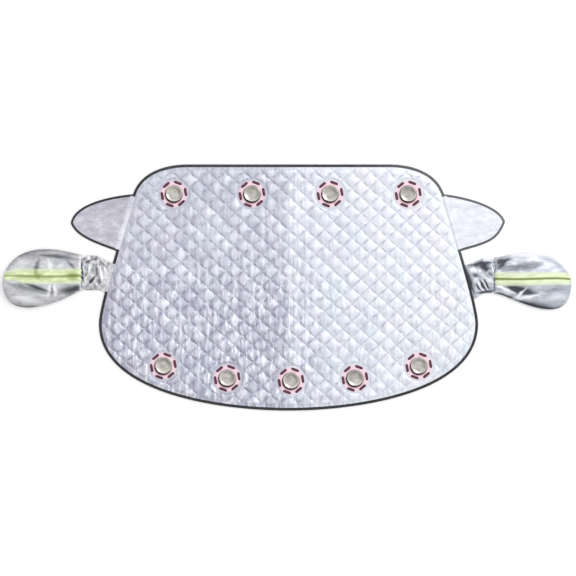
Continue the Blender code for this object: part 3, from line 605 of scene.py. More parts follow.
def smooth_film(name, left_tone, right_tone):
    """Loose film: painted light and shade on its ripples, a shadow along its top on the left, and thin
    sharp creases in painted shade.
    """
    film = Surface(name)
    place = film.place()
    x, y, _ = film.axes(place)
    leftness = film.between(x, 0.1, -0.1)
    ripple = film.noise(film.stretched(place, (22, 46, 20)), 1.0, 3.0, 0.6)
    crackle = film.noise(place, 240.0, 2.0)
    veins = film.noise(film.stretched(place, (30, 44, 30)), 1.0, 2.0)
    creases = 1 - film.between(abs(veins - 0.5), 0.0, 0.016)
    tone = film.mix(leftness, right_tone, left_tone)
    # Painted light and painted shade on the ripples.
    tone = film.mix(film.between(ripple, 0.50, 0.66) * 0.40, tone, (0.88, 0.88, 0.94))
    tone = film.mix(film.between(ripple, 0.48, 0.36) * (0.15 + leftness * 0.25), tone, (0.34, 0.34, 0.41))
    tone = film.mix(leftness * film.between(y, 0.25, 0.36) * 0.30, tone, (0.30, 0.30, 0.38))
    # Painted shade in the creases.
    tone = film.mix(creases * (0.12 + leftness * 0.25), tone, (0.26, 0.26, 0.33))
    return film.set(
        base_color=tone,
        metallic=0.45,
        roughness=0.32 + ripple * 0.18,
        normal=film.bump(ripple * 0.9 - creases * 0.25 + crackle * 0.10, 0.0024, 0.6),
    )


QUILTED_FILM = quilted_film()
SMOOTH_FILM = smooth_film("smooth_film", (0.54, 0.53, 0.61), (0.72, 0.74, 0.81))
SEAM_FILM = smooth_film("seam_film", (0.76, 0.76, 0.84), (0.66, 0.68, 0.75))
print("film finishes", QUILTED_FILM.material.name, SMOOTH_FILM.material.name, SEAM_FILM.material.name)

# %% [markdown]
# ## A sheet cut from a lattice
#
# A grid of square faces would cross the slanted stitch lines and make them ragged. Here the grid runs
# along the stitches instead: its points are steps along the two stitch directions, and those inside the
# outline are kept. The ragged rim is moved onto the edge, inside the binding. The flaps use the same
# helper with an upright grid.

# %% Lattice sheets
TRIMMINGS = 4
RIM_SLIDES = 4


def inside(points, line):
    """Which points lie inside a closed line."""
    x, y = points[:, 0], points[:, 1]
    within = np.zeros(len(points), bool)
    for (x0, y0), (x1, y1) in zip(line, np.roll(line, -1, axis=0)):
        if y0 == y1:
            continue
        crosses = (y0 > y) != (y1 > y)
        within ^= crosses & (x < x0 + (y - y0) * (x1 - x0) / (y1 - y0))
    return within


def lattice(edge, first, second):
    """Points and quads of a slanted grid inside a closed line, without quads that stick out alone."""
    basis = np.array([first, second], float)
    spread = edge @ np.linalg.inv(basis)
    low, high = np.floor(spread.min(axis=0)).astype(int), np.ceil(spread.max(axis=0)).astype(int)
    ranges = [np.arange(first_step, last_step + 1) for first_step, last_step in zip(low, high)]
    steps = np.stack(np.meshgrid(*ranges, indexing="ij"), axis=-1)
    points = steps.reshape(-1, 2) @ basis
    kept = inside(points, edge).reshape(steps.shape[:2])
    quads = kept[:-1, :-1] & kept[1:, :-1] & kept[:-1, 1:] & kept[1:, 1:]
    for _ in range(TRIMMINGS):
        padded = np.pad(quads, 1)
        beside = padded[:-2, 1:-1].astype(int) + padded[2:, 1:-1] + padded[1:-1, :-2] + padded[1:-1, 2:]
        quads &= beside >= 2
    numbers = np.arange(len(points)).reshape(steps.shape[:2])
    corners = [numbers[:-1, :-1], numbers[1:, :-1], numbers[1:, 1:], numbers[:-1, 1:]]
    used, faces = np.unique(np.stack(corners, axis=-1)[quads], return_inverse=True)
    return points[used], faces.reshape(-1, 4), steps.reshape(-1, 2)[used]


def rim_of(faces):
    """The points round a sheet, in order."""
    ways = {}
    seen = set()
    for face in faces:
        for first, second in zip(face, np.roll(face, -1)):
            seen.add((int(first), int(second)))
    for first, second in seen:
        if (second, first) not in seen:
            ways[first] = second
    start = next(iter(ways))
    rim = [start]
    while ways[rim[-1]] != start:
        rim.append(ways[rim[-1]])
    return rim


def nearest_on(line, closed=True):
    """A search for the nearest of a line's points, with the line's normals."""
    tree = kdtree.KDTree(len(line))
    for index, point in enumerate(line):
        tree.insert((*point, 0), index)
    tree.balance()
    return tree, normals(line, closed)


def fitted(points, faces, edge):
    """Moves the sheet's rim onto the line; returns the points, the rim and its normals.

    Each rim point goes to the nearest place on the line, and is then slid along it, halfway between its
    neighbours a few times over, so that no two of them lie on one spot.
    """
    tree, out = nearest_on(edge)
    rim = rim_of(faces)
    count = len(edge)
    found = np.array([tree.find((*points[index], 0))[1] for index in rim])
    steps = (np.diff(found, append=found[0]) + count / 2) % count - count / 2
    once_round = steps.sum()
    at = found[0] + np.concatenate([[0], np.cumsum(steps)[:-1]])
    for _ in range(RIM_SLIDES):
        before, after = np.roll(at, 1), np.roll(at, -1)
        before[0] -= once_round
        after[-1] += once_round
        at = (before + 2 * at + after) / 4
    closed = np.concatenate([edge, edge[:1]])
    points = points.copy()
    for axis in (0, 1):
        points[rim, axis] = np.interp(at % count, np.arange(count + 1), closed[:, axis])
    return points, rim, out[np.round(at).astype(int) % count]


print("lattice helpers ready")

# %% [markdown]
# ## The quilted panel
#
# Padding is stitched down along two families of slanted lines, and the film swells between them. Each
# cell is a dome that is nothing on its stitch lines. Under each magnet's patch the quilting is pressed
# flat, and at the rim it thins into the binding.

# %% Quilt sizes
CELL_STEPS = 12
STITCHED_LEVEL = 0.0043
CROWN = 0.0068
DOME_POWER = 0.45
TONGUE_LOW = 0.0014
TONGUE_HIGH = 0.0041
BINDING_WIDTH = 0.011
TONGUE_INSET = 0.0035
SEAT_LEVEL = 0.0035
PATCH_RADIUS = 0.060
SEAT_EDGE = 0.009
PLEAT = 0.0015
STITCH_DRIFT = 0.0020
RISING_SHALLOW = 0.10
OVAL_WIDE = 0.40
OVAL_HIGH = 0.62
FOLD_DEPTH = 0.0011
FOLD_WIDTH = 0.0036
OFF_FLOOR = 0.0001

MAGNETS = sorted(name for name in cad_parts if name.startswith("magnet_") and "patch" not in name)


def middle_of(node):
    low, high = (Vector(corner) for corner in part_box(node))
    return (low + high) / 2, low.z, high.z


magnet_middles = [middle_of(name)[0] for name in MAGNETS]
print("cells", CELL_WIDTH, "x", CELL_HEIGHT, "m, and", len(MAGNETS), "magnets to seat")

# %% [markdown]
# ## The quilt's height at each point
#
# A point's steps along the two stitch directions say where in its cell it is, and so how high it lies.
# The left half is worn: its rising stitches are shallow and upright pleats cross its cells. Numbers kept
# for the finish say where stitches run, for painted shade along them, how bright each cell is, and where
# each cell's oval of painted highlight lies.

# %% Quilt shape
DRIFT_SIZES = ((0.06, 0.05), (0.05, 0.06))
RIGHT_HALF = (-0.05, 0.30)
UPPER_HALF = (-0.15, 0.25)
OVAL_STEEPNESS = 1.5
CELL_TABLE = 128
PRESSED_PAST = 0.002
THINS_OVER = 0.020
PLEAT_SIZE = (0.0066, 0.032)
SMALL_PLEAT_SIZE = (0.0095, 0.018)
WEAR_SIZE = (0.09, 0.09)


def drifted(points):
    """The lattice with its stitch lines drifting a little, as hand-fed quilting does."""
    x, y = points.T
    drift = [sized_bumps(x, y, size, 41 + axis) for axis, size in enumerate(DRIFT_SIZES)]
    return points + STITCH_DRIFT * np.stack(drift, axis=1)


def quilt_shape(points, steps, tree):
    """Each point's height and freedom, and its shares of painted stitch shade, cell tone and oval
    highlight.
    """
    x, y = points.T
    rising, falling = steps.T / CELL_STEPS
    rightness = smooth(x, *RIGHT_HALF)
    lowness = 1 - smooth(y, *UPPER_HALF)
    shallow = RISING_SHALLOW * (1 - rightness)
    over_falling = np.abs(np.cos(math.pi * falling)) ** DOME_POWER
    over_rising = np.abs(np.cos(math.pi * rising)) ** DOME_POWER
    dome = over_falling * (shallow + (1 - shallow) * over_rising)
    from_middle = np.stack([rising - np.round(rising), falling - np.round(falling)])
    sideways, upwards = from_middle[1] + from_middle[0], from_middle[1] - from_middle[0]
    # The oval on which each cell gets its painted highlight.
    oval = np.exp(-(((sideways / OVAL_WIDE) ** 2 + (upwards / OVAL_HIGH) ** 2) ** OVAL_STEEPNESS))
    own = np.random.default_rng(43).uniform(0, 1, (CELL_TABLE, CELL_TABLE))
    row, column = (np.floor(way + 0.5).astype(int) % CELL_TABLE for way in (falling, rising))
    cell = own[row, column]
    from_edge = np.array([tree.find((*point, 0))[2] for point in points])
    from_seat = np.min([np.hypot(x - spot.x, y - spot.y) for spot in magnet_middles], axis=0)
    free = smooth(from_edge, BINDING_WIDTH - PRESSED_PAST, BINDING_WIDTH + THINS_OVER)
    open_quilt = smooth(from_seat, PATCH_RADIUS - PRESSED_PAST, PATCH_RADIUS + SEAT_EDGE)
    pleats = sized_bumps(x, y, PLEAT_SIZE, 3) + 0.5 * sized_bumps(x, y, SMALL_PLEAT_SIZE, 5)
    calm = 1 - 0.40 * rightness - 0.20 * (1 - lowness) * (1 - rightness)
    swell = CROWN * dome * (0.84 + 0.22 * cell) * calm
    swell += PLEAT * pleats * (1 - 0.65 * rightness) * (0.5 + 0.5 * lowness) * np.sqrt(dome)
    for place in MIDDLE_CREASES:
        swell -= FOLD_DEPTH * np.exp(-(((x - place) / FOLD_WIDTH) ** 2)) * dome
    level = STITCHED_LEVEL + swell * free * open_quilt
    level -= (STITCHED_LEVEL - SEAT_LEVEL) * (1 - open_quilt)
    level -= (STITCHED_LEVEL - TONGUE_HIGH) * (1 - free)
    on_falling = steps[:, 1] % CELL_STEPS == CELL_STEPS // 2
    on_rising = steps[:, 0] % CELL_STEPS == CELL_STEPS // 2
    # How strong the painted shade along the stitch lines is; it varies slowly, so some lines fade.
    stitch_shade_strength = 0.75 + 0.45 * sized_bumps(x, y, WEAR_SIZE, 44)
    stitch = np.maximum(on_falling * (0.9 - 0.25 * rightness), on_rising * (0.6 + 0.35 * rightness))
    stitch = stitch * stitch_shade_strength
    freedom = np.minimum(free, open_quilt)
    painted = {
        "stitch": np.clip(stitch * freedom, 0, 1),
        "cell": 0.5 + (cell - 0.5) * freedom,
        "oval": oval * (0.5 + 0.5 * cell) * freedom,
    }
    return level, freedom, painted


print("quilt shape ready")

# %% [markdown]
# ## Crinkles from a cloth simulation
#
# The film is a little larger than the padding it covers, so it crinkles. A short cloth simulation finds
# those crinkles: the stitches, the seats and the rim are held, a negative shrink lets the film grow, more
# on the left than on the right, and a small pressure lifts it. The crinkled film is then kept as plain
# points, so no cloth is left on the piece.

# %% Crinkled film
SPARE_LEFT = 0.050
SPARE_RIGHT = 0.018
FILM_PRESSURE = 2.0
SETTLING_FRAMES = 8
FILM_MOVES_MOST = 0.003


def settled(points, faces, held):
    """Lets a held film with cloth to spare find its own crinkles, and returns how each point moves.

    No two points may lie on one spot, because a spring without a length stops the whole solver.
    """
    mesh = bpy.data.meshes.new("settling_film")
    mesh.from_pydata(points.tolist(), [], faces.tolist())
    sheet = bpy.data.objects.new("settling_film", mesh)
    scene.collection.objects.link(sheet)
    sheet.vertex_groups.new(name="held").add(np.flatnonzero(held).tolist(), 1.0, "REPLACE")
    sheet.vertex_groups.new(name="left").add(np.flatnonzero(points[:, 0] < 0).tolist(), 1.0, "REPLACE")
    cloth = sheet.modifiers.new("cloth", "CLOTH").settings
    cloth.quality = 4
    cloth.mass = 0.2
    cloth.tension_stiffness = 25
    cloth.compression_stiffness = 25
    cloth.shear_stiffness = 8
    cloth.bending_stiffness = 0.02
    cloth.vertex_group_mass = "held"
    cloth.vertex_group_shrink = "left"
    cloth.shrink_min = -SPARE_RIGHT
    cloth.shrink_max = -SPARE_LEFT
    cloth.use_pressure = True
    cloth.uniform_pressure_force = FILM_PRESSURE
    cloth.effector_weights.gravity = 0
    for number in range(1, SETTLING_FRAMES + 1):
        scene.frame_set(number)
    shown = sheet.evaluated_get(bpy.context.evaluated_depsgraph_get())
    moved = np.empty(len(points) * 3)
    shown.data.vertices.foreach_get("co", moved)
    scene.frame_set(1)
    bpy.data.objects.remove(sheet)
    step = moved.reshape(-1, 3) - points
    far = np.linalg.norm(step, axis=1, keepdims=True)
    mean, most = (round(float(value) * 1000, 2) for value in (far.mean(), far.max()))
    print("film moved", mean, "mm, at most", most)
    return step * np.minimum(1, FILM_MOVES_MOST / np.maximum(far, 1e-9))


print("cloth to spare", SPARE_LEFT, "on the left,", SPARE_RIGHT, "on the right")

# %% [markdown]
# ## Putting the panel together
#
# The film is the upper skin. Three rings below its rim close it: two for the flat tongue that goes into
# the binding's slot, and one for the lining, which lies on the floor.

# %% Build the quilted panel
LINING_RINGS = ((0.0, TONGUE_LOW), (0.009, TONGUE_LOW), (0.016, OFF_FLOOR))
SINKS_MOST = 0.0004


def quilted_panel():
    edge = outline - normals(outline, True) * TONGUE_INSET
    along = np.array((CELL_WIDTH, CELL_HEIGHT)) / 2 / CELL_STEPS
    across = np.array((CELL_WIDTH, -CELL_HEIGHT)) / 2 / CELL_STEPS
    flat, faces, steps = lattice(edge, across, along)
    loose = drifted(flat)
    flat, rim, out = fitted(loose, faces, edge)
    levels, free, painted = quilt_shape(flat, steps, nearest_on(outline)[0])
    film = np.column_stack([flat, levels])
    stitched = (steps % CELL_STEPS == CELL_STEPS // 2).any(axis=1)
    film += settled(np.column_stack([loose, levels]), faces, stitched | (free < 0.5))
    film[:, 2] = np.maximum(film[:, 2], np.minimum(levels, STITCHED_LEVEL - SINKS_MOST))
    points = [film]
    start = len(flat)
    for inset, level in LINING_RINGS:
        ring = flat[rim] - out * inset
        points.append(np.column_stack([ring, np.full(len(rim), level)]))
    faces = [tuple(face) for face in faces]
    count = len(rim)
    starts = [start + number * count for number in range(len(LINING_RINGS))]
    rings = [rim] + [list(range(first, first + count)) for first in starts]
    for upper, lower in zip(rings, rings[1:]):
        for index in range(count):
            after = (index + 1) % count
            faces.append((upper[after], upper[index], lower[index], lower[after]))
    faces.append(tuple(reversed(rings[-1])))
    made = piece_of(
        "quilted_face", np.concatenate(points), faces, QUILTED_FILM, ["quilted_panel"]
    )
    for name, values in painted.items():
        paint(made, name, np.pad(values, (0, len(made.data.vertices) - start)))
    return made


panel = quilted_panel()
print("quilted panel", len(panel.data.polygons), "faces")

# %% [markdown]
# ## Black binding
#
# A woven tape is folded over the raw edge and sewn through. Its section is a rounded fold with two lips,
# carried along the outline. The weave is two crossed waves, much finer than a pixel, so it only takes
# the shine off.

# %% Binding finish and strips
BINDING_HEIGHT = 0.0056
FLAP_BINDING_HEIGHT = 0.0040
FLAP_BINDING_WIDTH = 0.009
LIP = 0.0008
SLOT_END = 0.0016
SLOT_ROUND = 0.0004


def binding_finish():
    tape = Surface("binding_tape")
    place = tape.place()
    x, y, _ = tape.axes(place)
    weave = (x * 3600).sine() * (y * 3600).sine()
    wear = tape.noise(place, 60.0, 3.0)
    tone = tape.mix(tape.between(wear, 0.45, 0.75), (0.022, 0.022, 0.026), (0.050, 0.050, 0.058))
    # Paler towards the upper right and along the top.
    paler_upper_right = tape.between(x, 0.20, 0.72) * tape.between(y, 0.02, 0.26)
    tone = tape.mix(paler_upper_right * 0.8 + tape.between(y, 0.40, 0.48) * 0.15, tone, (0.17, 0.17, 0.185))
    return tape.set(
        base_color=tone,
        roughness=0.72 + wear * 0.2,
        normal=tape.bump(weave * 0.5 + wear * 0.5, 0.0004, 0.6),
    )


def folded_section(width, height):
    """A tape folded round an edge, with its slot open towards the sheet."""
    return [
        (0, height * 0.5),
        (-height * 0.10, height * 0.82),
        (-height * 0.32, height * 0.97),
        (-width * 0.55, height),
        (-width * 0.92, height * 0.96),
        (-width, height - LIP),
        (-SLOT_END, height - LIP),
        (-SLOT_END + SLOT_ROUND, height * 0.5),
        (-SLOT_END, LIP),
        (-width, LIP),
        (-width * 0.92, OFF_FLOOR),
        (-width * 0.55, OFF_FLOOR),
        (-height * 0.32, OFF_FLOOR),
        (-height * 0.10, height * 0.18),
    ]


BINDING = binding_finish()
PANEL_SECTION = folded_section(BINDING_WIDTH, BINDING_HEIGHT)
FLAP_SECTION = folded_section(FLAP_BINDING_WIDTH, FLAP_BINDING_HEIGHT)
ROOT_OVERLAP = 0.008


def binding(name, path, section):
    points, faces = strip_mesh(path, section)
    made = piece_of(name + "_tape", points, faces, BINDING, [name])
    return made


top_half = side_between(0, FLAP_TOP_AT + ROOT_OVERLAP)[::-1]
bottom_half = side_between(FLAP_BOTTOM_AT - ROOT_OVERLAP, half_along[-1])[::-1]
over_top = binding("top_binding", np.concatenate([top_half, mirrored(top_half)[1:]]), PANEL_SECTION)
round_bottom = binding(
    "bottom_binding", np.concatenate([mirrored(bottom_half), bottom_half[1:]]), PANEL_SECTION
)
print("bindings", len(over_top.data.polygons) + len(round_bottom.data.polygons), "faces")

# %% [markdown]
# ## Door flaps
#
# A flap is a single smooth sheet that gets shut in the car's door. The left one comes to a point and the
# right one is rounder. Film that lies loose isn't flat: it has low waves that run out from its seam.

# %% Flaps
FLAP_SHAPES = {
    "left": dict(reach=0.213, tip_y=0.255, upper_root=(0.020, 0.000), upper_tip=(-0.013, 0.094),
                 lower_tip=(-0.022, -0.061), lower_root=(0.060, 0.024)),
    "right": dict(reach=0.210, tip_y=0.261, upper_root=(0.020, 0.000), upper_tip=(-0.026, 0.080),
                  lower_tip=(-0.027, -0.080), lower_root=(0.100, 0.029)),
}
FLAP_THICKNESS = 0.0012
FLAP_STEP = 0.004
FLAP_WAVE = 0.0016
FLAP_TUCK = 0.003
FLAP_EDGE_STEP = 0.001
FLAP_RIM = (0.004, 0.03)
FLAP_RIM_LEVEL = 0.0013
FLAP_LEAST_LEVEL = 0.0003
WAVE_SIZE = (0.055, 0.022)
SMALL_WAVE_SIZE = (0.02, 0.013)
FLAP_SEEDS = {"left": 11, "right": 12}
SEAM_WALL_HALF = 0.0005


def flap_edge(side):
    """The flap's free edge on the right side, from its lower root round the tip to its upper root."""
    shape = FLAP_SHAPES[side]
    upper = point_at(FLAP_TOP_AT)
    lower = point_at(FLAP_BOTTOM_AT)
    side_x = point_at(height_at(shape["tip_y"]))[0]
    tip = np.array((side_x + shape["reach"], shape["tip_y"]))
    low_curve = bezier(lower, lower + shape["lower_root"], tip + shape["lower_tip"], tip)
    high_curve = bezier(tip, tip + shape["upper_tip"], upper + shape["upper_root"], upper)
    return respaced(np.concatenate([low_curve, high_curve[1:]]), FLAP_STEP)


def door_flap(side):
    free = flap_edge(side)
    root = side_between(FLAP_TOP_AT, FLAP_BOTTOM_AT)[1:-1]
    edge = np.concatenate([free - normals(free) * FLAP_TUCK, root])
    edge = respaced(np.concatenate([edge, edge[:1]]), FLAP_EDGE_STEP)[:-1]
    edge = on_side(edge, side)
    flat, faces, _ = lattice(edge, (FLAP_STEP, 0), (0, FLAP_STEP))
    flat, rim, _ = fitted(flat, faces, edge)
    tree = nearest_on(edge)[0]
    from_edge = np.array([tree.find((*point, 0))[2] for point in flat])
    x, y = flat.T
    seed = FLAP_SEEDS[side]
    wave = sized_bumps(x, y, WAVE_SIZE, seed) + 0.5 * sized_bumps(x, y, SMALL_WAVE_SIZE, seed + 2)
    middle = smooth(from_edge, *FLAP_RIM)
    lying = FLAP_LEAST_LEVEL + FLAP_WAVE * (0.6 + 0.5 * wave)
    level = FLAP_RIM_LEVEL * (1 - middle) + lying * middle
    count = len(flat)
    points = np.concatenate([
        np.column_stack([flat, level + FLAP_THICKNESS]), np.column_stack([flat, level])
    ])
    sides = [(a, b, b + count, a + count) for a, b in zip(rim[1:] + rim[:1], rim)]
    all_faces = [tuple(face) for face in faces]
    all_faces += [tuple(face[::-1] + count) for face in faces]
    all_faces += sides
    made = piece_of(
        f"{side}_flap_sheet", points, all_faces, SMOOTH_FILM, [f"{side}_door_flap"]
    )
    shoelace = edge[:, 0] * np.roll(edge[:, 1], -1) - edge[:, 1] * np.roll(edge[:, 0], -1)


print("flap sheet ready")

# %% [markdown]
# ## Flap edges and seams
#
# Each flap's free edge gets the same folded tape as the panel, only narrower. Its root is joined to the
# panel's side by a seam tape with two slots, one for each sheet.

# %% Seams, and both flaps
def seam_section():
    """The seam's tape: a slot for the panel's edge and a thinner one for the flap's."""
    return [
        (FLAP_BINDING_WIDTH, OFF_FLOOR),
        (FLAP_BINDING_WIDTH, LIP),
        (SEAM_WALL_HALF, LIP),
        (SEAM_WALL_HALF, FLAP_BINDING_HEIGHT - LIP),
        (FLAP_BINDING_WIDTH, FLAP_BINDING_HEIGHT - LIP),
        (FLAP_BINDING_WIDTH * 0.8, FLAP_BINDING_HEIGHT * 0.98),
        (0.002, BINDING_HEIGHT * 0.9),
        (-0.003, BINDING_HEIGHT),
        (-BINDING_WIDTH * 0.9, BINDING_HEIGHT * 0.96),
        (-BINDING_WIDTH, BINDING_HEIGHT - LIP),
        (-SEAM_WALL_HALF, BINDING_HEIGHT - LIP),
        (-SEAM_WALL_HALF, LIP),
        (-BINDING_WIDTH, LIP),
        (-BINDING_WIDTH, OFF_FLOOR),
    ]


for side in ("left", "right"):
    door_flap(side)
    edge = flap_edge(side)
    binding(f"{side}_flap_binding", on_side(edge, side), FLAP_SECTION)
    seam_path = side_between(FLAP_TOP_AT + ROOT_OVERLAP, FLAP_BOTTOM_AT - ROOT_OVERLAP)[::-1]
    points, faces = strip_mesh(on_side(seam_path, side), seam_section())
    seam = piece_of(f"{side}_seam_tape", points, faces, SEAM_FILM, [f"{side}_flap_seam"])
    print(side, "seam", round(float(distances(seam_path)[-1]), 3), "m long")

# %% [markdown]
# ## Magnets on their patches
#
# Each magnet is a shallow nickel dish with a rolled rim. It is turned from a half profile, like a piece
# on a lathe. The patch under it is pale pink cloth that fades into the film, with six dark red bars of
# satin stitch in a ring.

# %% Magnet and patch finishes
def disc_finish():
    metal = Surface("disc_metal")
    place = metal.place()
    brushed = metal.noise(metal.stretched(place, (900, 60, 60)), 1.0, 3.0)
    blotch = metal.noise(place, 40.0, 2.0)
    tone = metal.mix(metal.between(blotch, 0.35, 0.65), (0.37, 0.355, 0.33), (0.53, 0.505, 0.47))
    # Painted highlight inside the dish, and painted shade on the rim.
    tone = metal.mix(metal.attribute("sheen") * 0.45, tone, (0.95, 0.92, 0.85))
    tone = metal.mix(metal.attribute("rim"), tone, (0.030, 0.016, 0.016))
    return metal.set(
        base_color=tone,
        metallic=1.0,
        roughness=0.12 + brushed * 0.10,
        normal=metal.bump(brushed, 0.0002, 0.5),
    )


def patch_finish():
    cloth = Surface("patch_cloth")
    place = cloth.place()
    fade = cloth.attribute("fade")
    x, y, _ = cloth.axes(place)
    weave = (x * 2600).sine() * (y * 2600).sine()
    # Towards its edge the patch takes the film's tone, with its painted light and shade, mixed a little
    # darker.
    film = cloth.mix(0.16, shade_and_light_across(cloth, x), (0.30, 0.30, 0.40))
    tone = cloth.mix(fade, (0.93, 0.68, 0.77), film)
    tone = cloth.mix(cloth.attribute("shadow") * 0.85, tone, (0.13, 0.06, 0.07))
    return cloth.set(base_color=tone, roughness=0.75, normal=cloth.bump(weave, 0.0003, 0.4))


def thread_finish():
    thread = Surface("stitch_thread")
    fuzz = thread.noise(thread.place(), 900.0, 2.0)
    tone = thread.mix(fuzz, (0.055, 0.010, 0.022), (0.120, 0.025, 0.045))
    return thread.set(base_color=tone, roughness=0.6, normal=thread.bump(fuzz, 0.0003, 0.6))


DISC = disc_finish()
PATCH = patch_finish()
THREAD = thread_finish()
print("magnet finishes", DISC.material.name, PATCH.material.name, THREAD.material.name)

# %% [markdown]
# ## Turning and sewing
#
# The disc and the patch are both turned, each from its own profile of radius and height. Numbers painted
# on them by radius and direction keep the painted shade on the rim, the painted highlight inside the
# dish, the painted shadow on the patch and the soft edge of the pink the same on every magnet.

# %% Magnets, patches and stitches
DISC_SIDES = 96
DISC_PROFILE = [
    (0.0342, 0.0000), (0.0349, 0.0004), (0.0350, 0.0012), (0.0347, 0.0026), (0.0340, 0.0040),
    (0.0332, 0.0047), (0.0322, 0.0050), (0.0308, 0.0050), (0.0295, 0.0048), (0.0280, 0.0043),
    (0.0262, 0.0036), (0.0244, 0.0029), (0.0226, 0.0022), (0.0206, 0.0015), (0.0185, 0.0011),
    (0.0150, 0.0009), (0.0100, 0.0008), (0.0040, 0.0008),
]
RIM_FROM = 0.0316
RIM_TO = 0.0332
RIM_LEAN = 0.0042
SHEEN_FROM = 0.0235
SHEEN_TO = 0.0290
FAR_SIDE_SHADE = 0.30
# The way away from the light: the rim's painted shade is widest there, and the dish's painted highlight
# and the patch's painted shadow lie on that side.
AWAY_FROM_LIGHT = np.array((-0.42, -0.91))
DISH_ENDS = (0.0300, 0.0330)
FAR_SIDE = (0.0130, 0.0220)
DISC_SHARP = math.radians(40)
BARS = 6
BAR_RING = 0.0468
BAR_LENGTH = 0.033
BAR_WIDTH = 0.0108
BAR_HEIGHT = 0.0011
BAR_TURN = math.radians(10)
BAR_POINTS = (29, 11)
BAR_TIP = 0.02
BAR_SUNK = 0.0002
RIB_DEPTH = 0.10
RIB_WAVES = 60
PATCH_SIDES = 96
PATCH_THICKNESS = 0.0015
PATCH_FADE = (0.043, 0.0600)
PATCH_SHADOW = (0.035, 0.042)
PATCH_RINGS = ((0.020, 0.0015), (0.035, 0.0015), (0.038, 0.0015), (0.042, 0.0015), (0.046, 0.0015),
               (0.052, 0.0014), (0.0565, 0.0011), (0.0592, 0.0007), (0.0600, 0.0003), (0.0592, 0.0001))


def turned(profile, sides, middle, low):
    """A closed round piece turned from (radius, height) pairs, its first and last rings filled."""
    angle = np.linspace(0, 2 * math.pi, sides, endpoint=False)
    circle = np.stack([np.cos(angle), np.sin(angle)], axis=1)
    points = []
    for radius, height in profile:
        points.append(np.column_stack([circle * radius + middle, np.full(sides, low + height)]))
    faces = grid_faces(len(profile), sides, wrap=True)
    faces.append(tuple(reversed(range(sides))))
    faces.append(tuple(range((len(profile) - 1) * sides, len(profile) * sides)))
    return np.concatenate(points), faces


def bar_stitches(middle, low):
    """Six raised bars of satin stitch in a ring."""
    along, across = (np.linspace(-1, 1, count) for count in BAR_POINTS)
    points, faces = [], []
    for number in range(BARS):
        angle = BAR_TURN + 2 * math.pi * number / BARS
        radial = np.array((math.cos(angle), math.sin(angle)))
        tangent = np.array((-radial[1], radial[0]))
        a, b = np.meshgrid(along, across, indexing="ij")
        end = np.sqrt(np.clip(1 - np.abs(a) ** 6, BAR_TIP, 1))
        ribs = 1 + RIB_DEPTH * np.sin(a * RIB_WAVES)
        rise = BAR_HEIGHT * np.sqrt(np.clip(1 - b**4, BAR_TIP, 1)) * end * ribs
        flat = middle + tangent * (a * BAR_LENGTH / 2)[..., None]
        flat = flat + radial * (BAR_RING + b * end * BAR_WIDTH / 2)[..., None]
        over = np.concatenate([flat, (low + BAR_SUNK + rise)[..., None]], axis=-1)
        under = np.concatenate([flat, np.full((*a.shape, 1), low)], axis=-1)
        skin, skin_faces = two_skins(over, under)
        start = sum(len(made) for made in points)
        points.append(skin)
        faces += [tuple(start + index for index in face) for face in skin_faces]
    return np.concatenate(points), faces


for name in MAGNETS:
    spot, low, _ = middle_of(name)
    middle = np.array(spot.xy)
    points, faces = turned(DISC_PROFILE, DISC_SIDES, middle, low)
    disc = piece_of(name + "_disc", points, faces, DISC, [name], DISC_SHARP)
    spoke = points[:, :2] - middle
    radius = np.hypot(*spoke.T)
    towards = (spoke @ AWAY_FROM_LIGHT) / radius
    leaning = radius + RIM_LEAN * towards
    dish = 1 - smooth(radius, *DISH_ENDS)
    far_side = FAR_SIDE_SHADE * np.clip(-towards, 0, 1) * smooth(radius, *FAR_SIDE) * dish
    # Painted shade on the rim and on the dish's far side, and a painted highlight inside the dish.
    paint(disc, "rim", np.maximum(smooth(leaning, RIM_FROM, RIM_TO), far_side))
    sheen = smooth(leaning, SHEEN_FROM, SHEEN_TO) * np.clip(0.25 + 0.75 * towards, 0, 1)
    paint(disc, "sheen", sheen)
    patch_node = name.replace("magnet_", "magnet_patch_")
    _, patch_low, _ = middle_of(patch_node)
    points, faces = turned(PATCH_RINGS[::-1], PATCH_SIDES, middle, patch_low)
    patch = piece_of(patch_node + "_cloth", points, faces, PATCH, [patch_node])
    spoke = points[:, :2] - middle
    radius = np.hypot(*spoke.T)
    paint(patch, "fade", smooth(radius, *PATCH_FADE))
    towards = np.clip(spoke @ AWAY_FROM_LIGHT / radius, 0, 1)
    paint(patch, "shadow", (1 - smooth(radius, *PATCH_SHADOW)) * towards)
    points, faces = bar_stitches(middle, patch_low + PATCH_THICKNESS)
    piece_of(patch_node + "_stitches", points, faces, THREAD, [patch_node])
print("magnets", len(MAGNETS), "with", BARS, "bars each")

# %% [markdown]
# ## Mirror covers
#
# Each cover is a loose bag of silver cloth, gathered at its mouth by an elastic and lying collapsed. It
# is drawn as a grid of points that runs round the bag and from the mouth to the tip: a domed top, a
# bottom that lies on the floor, and the folds that the photograph shows.

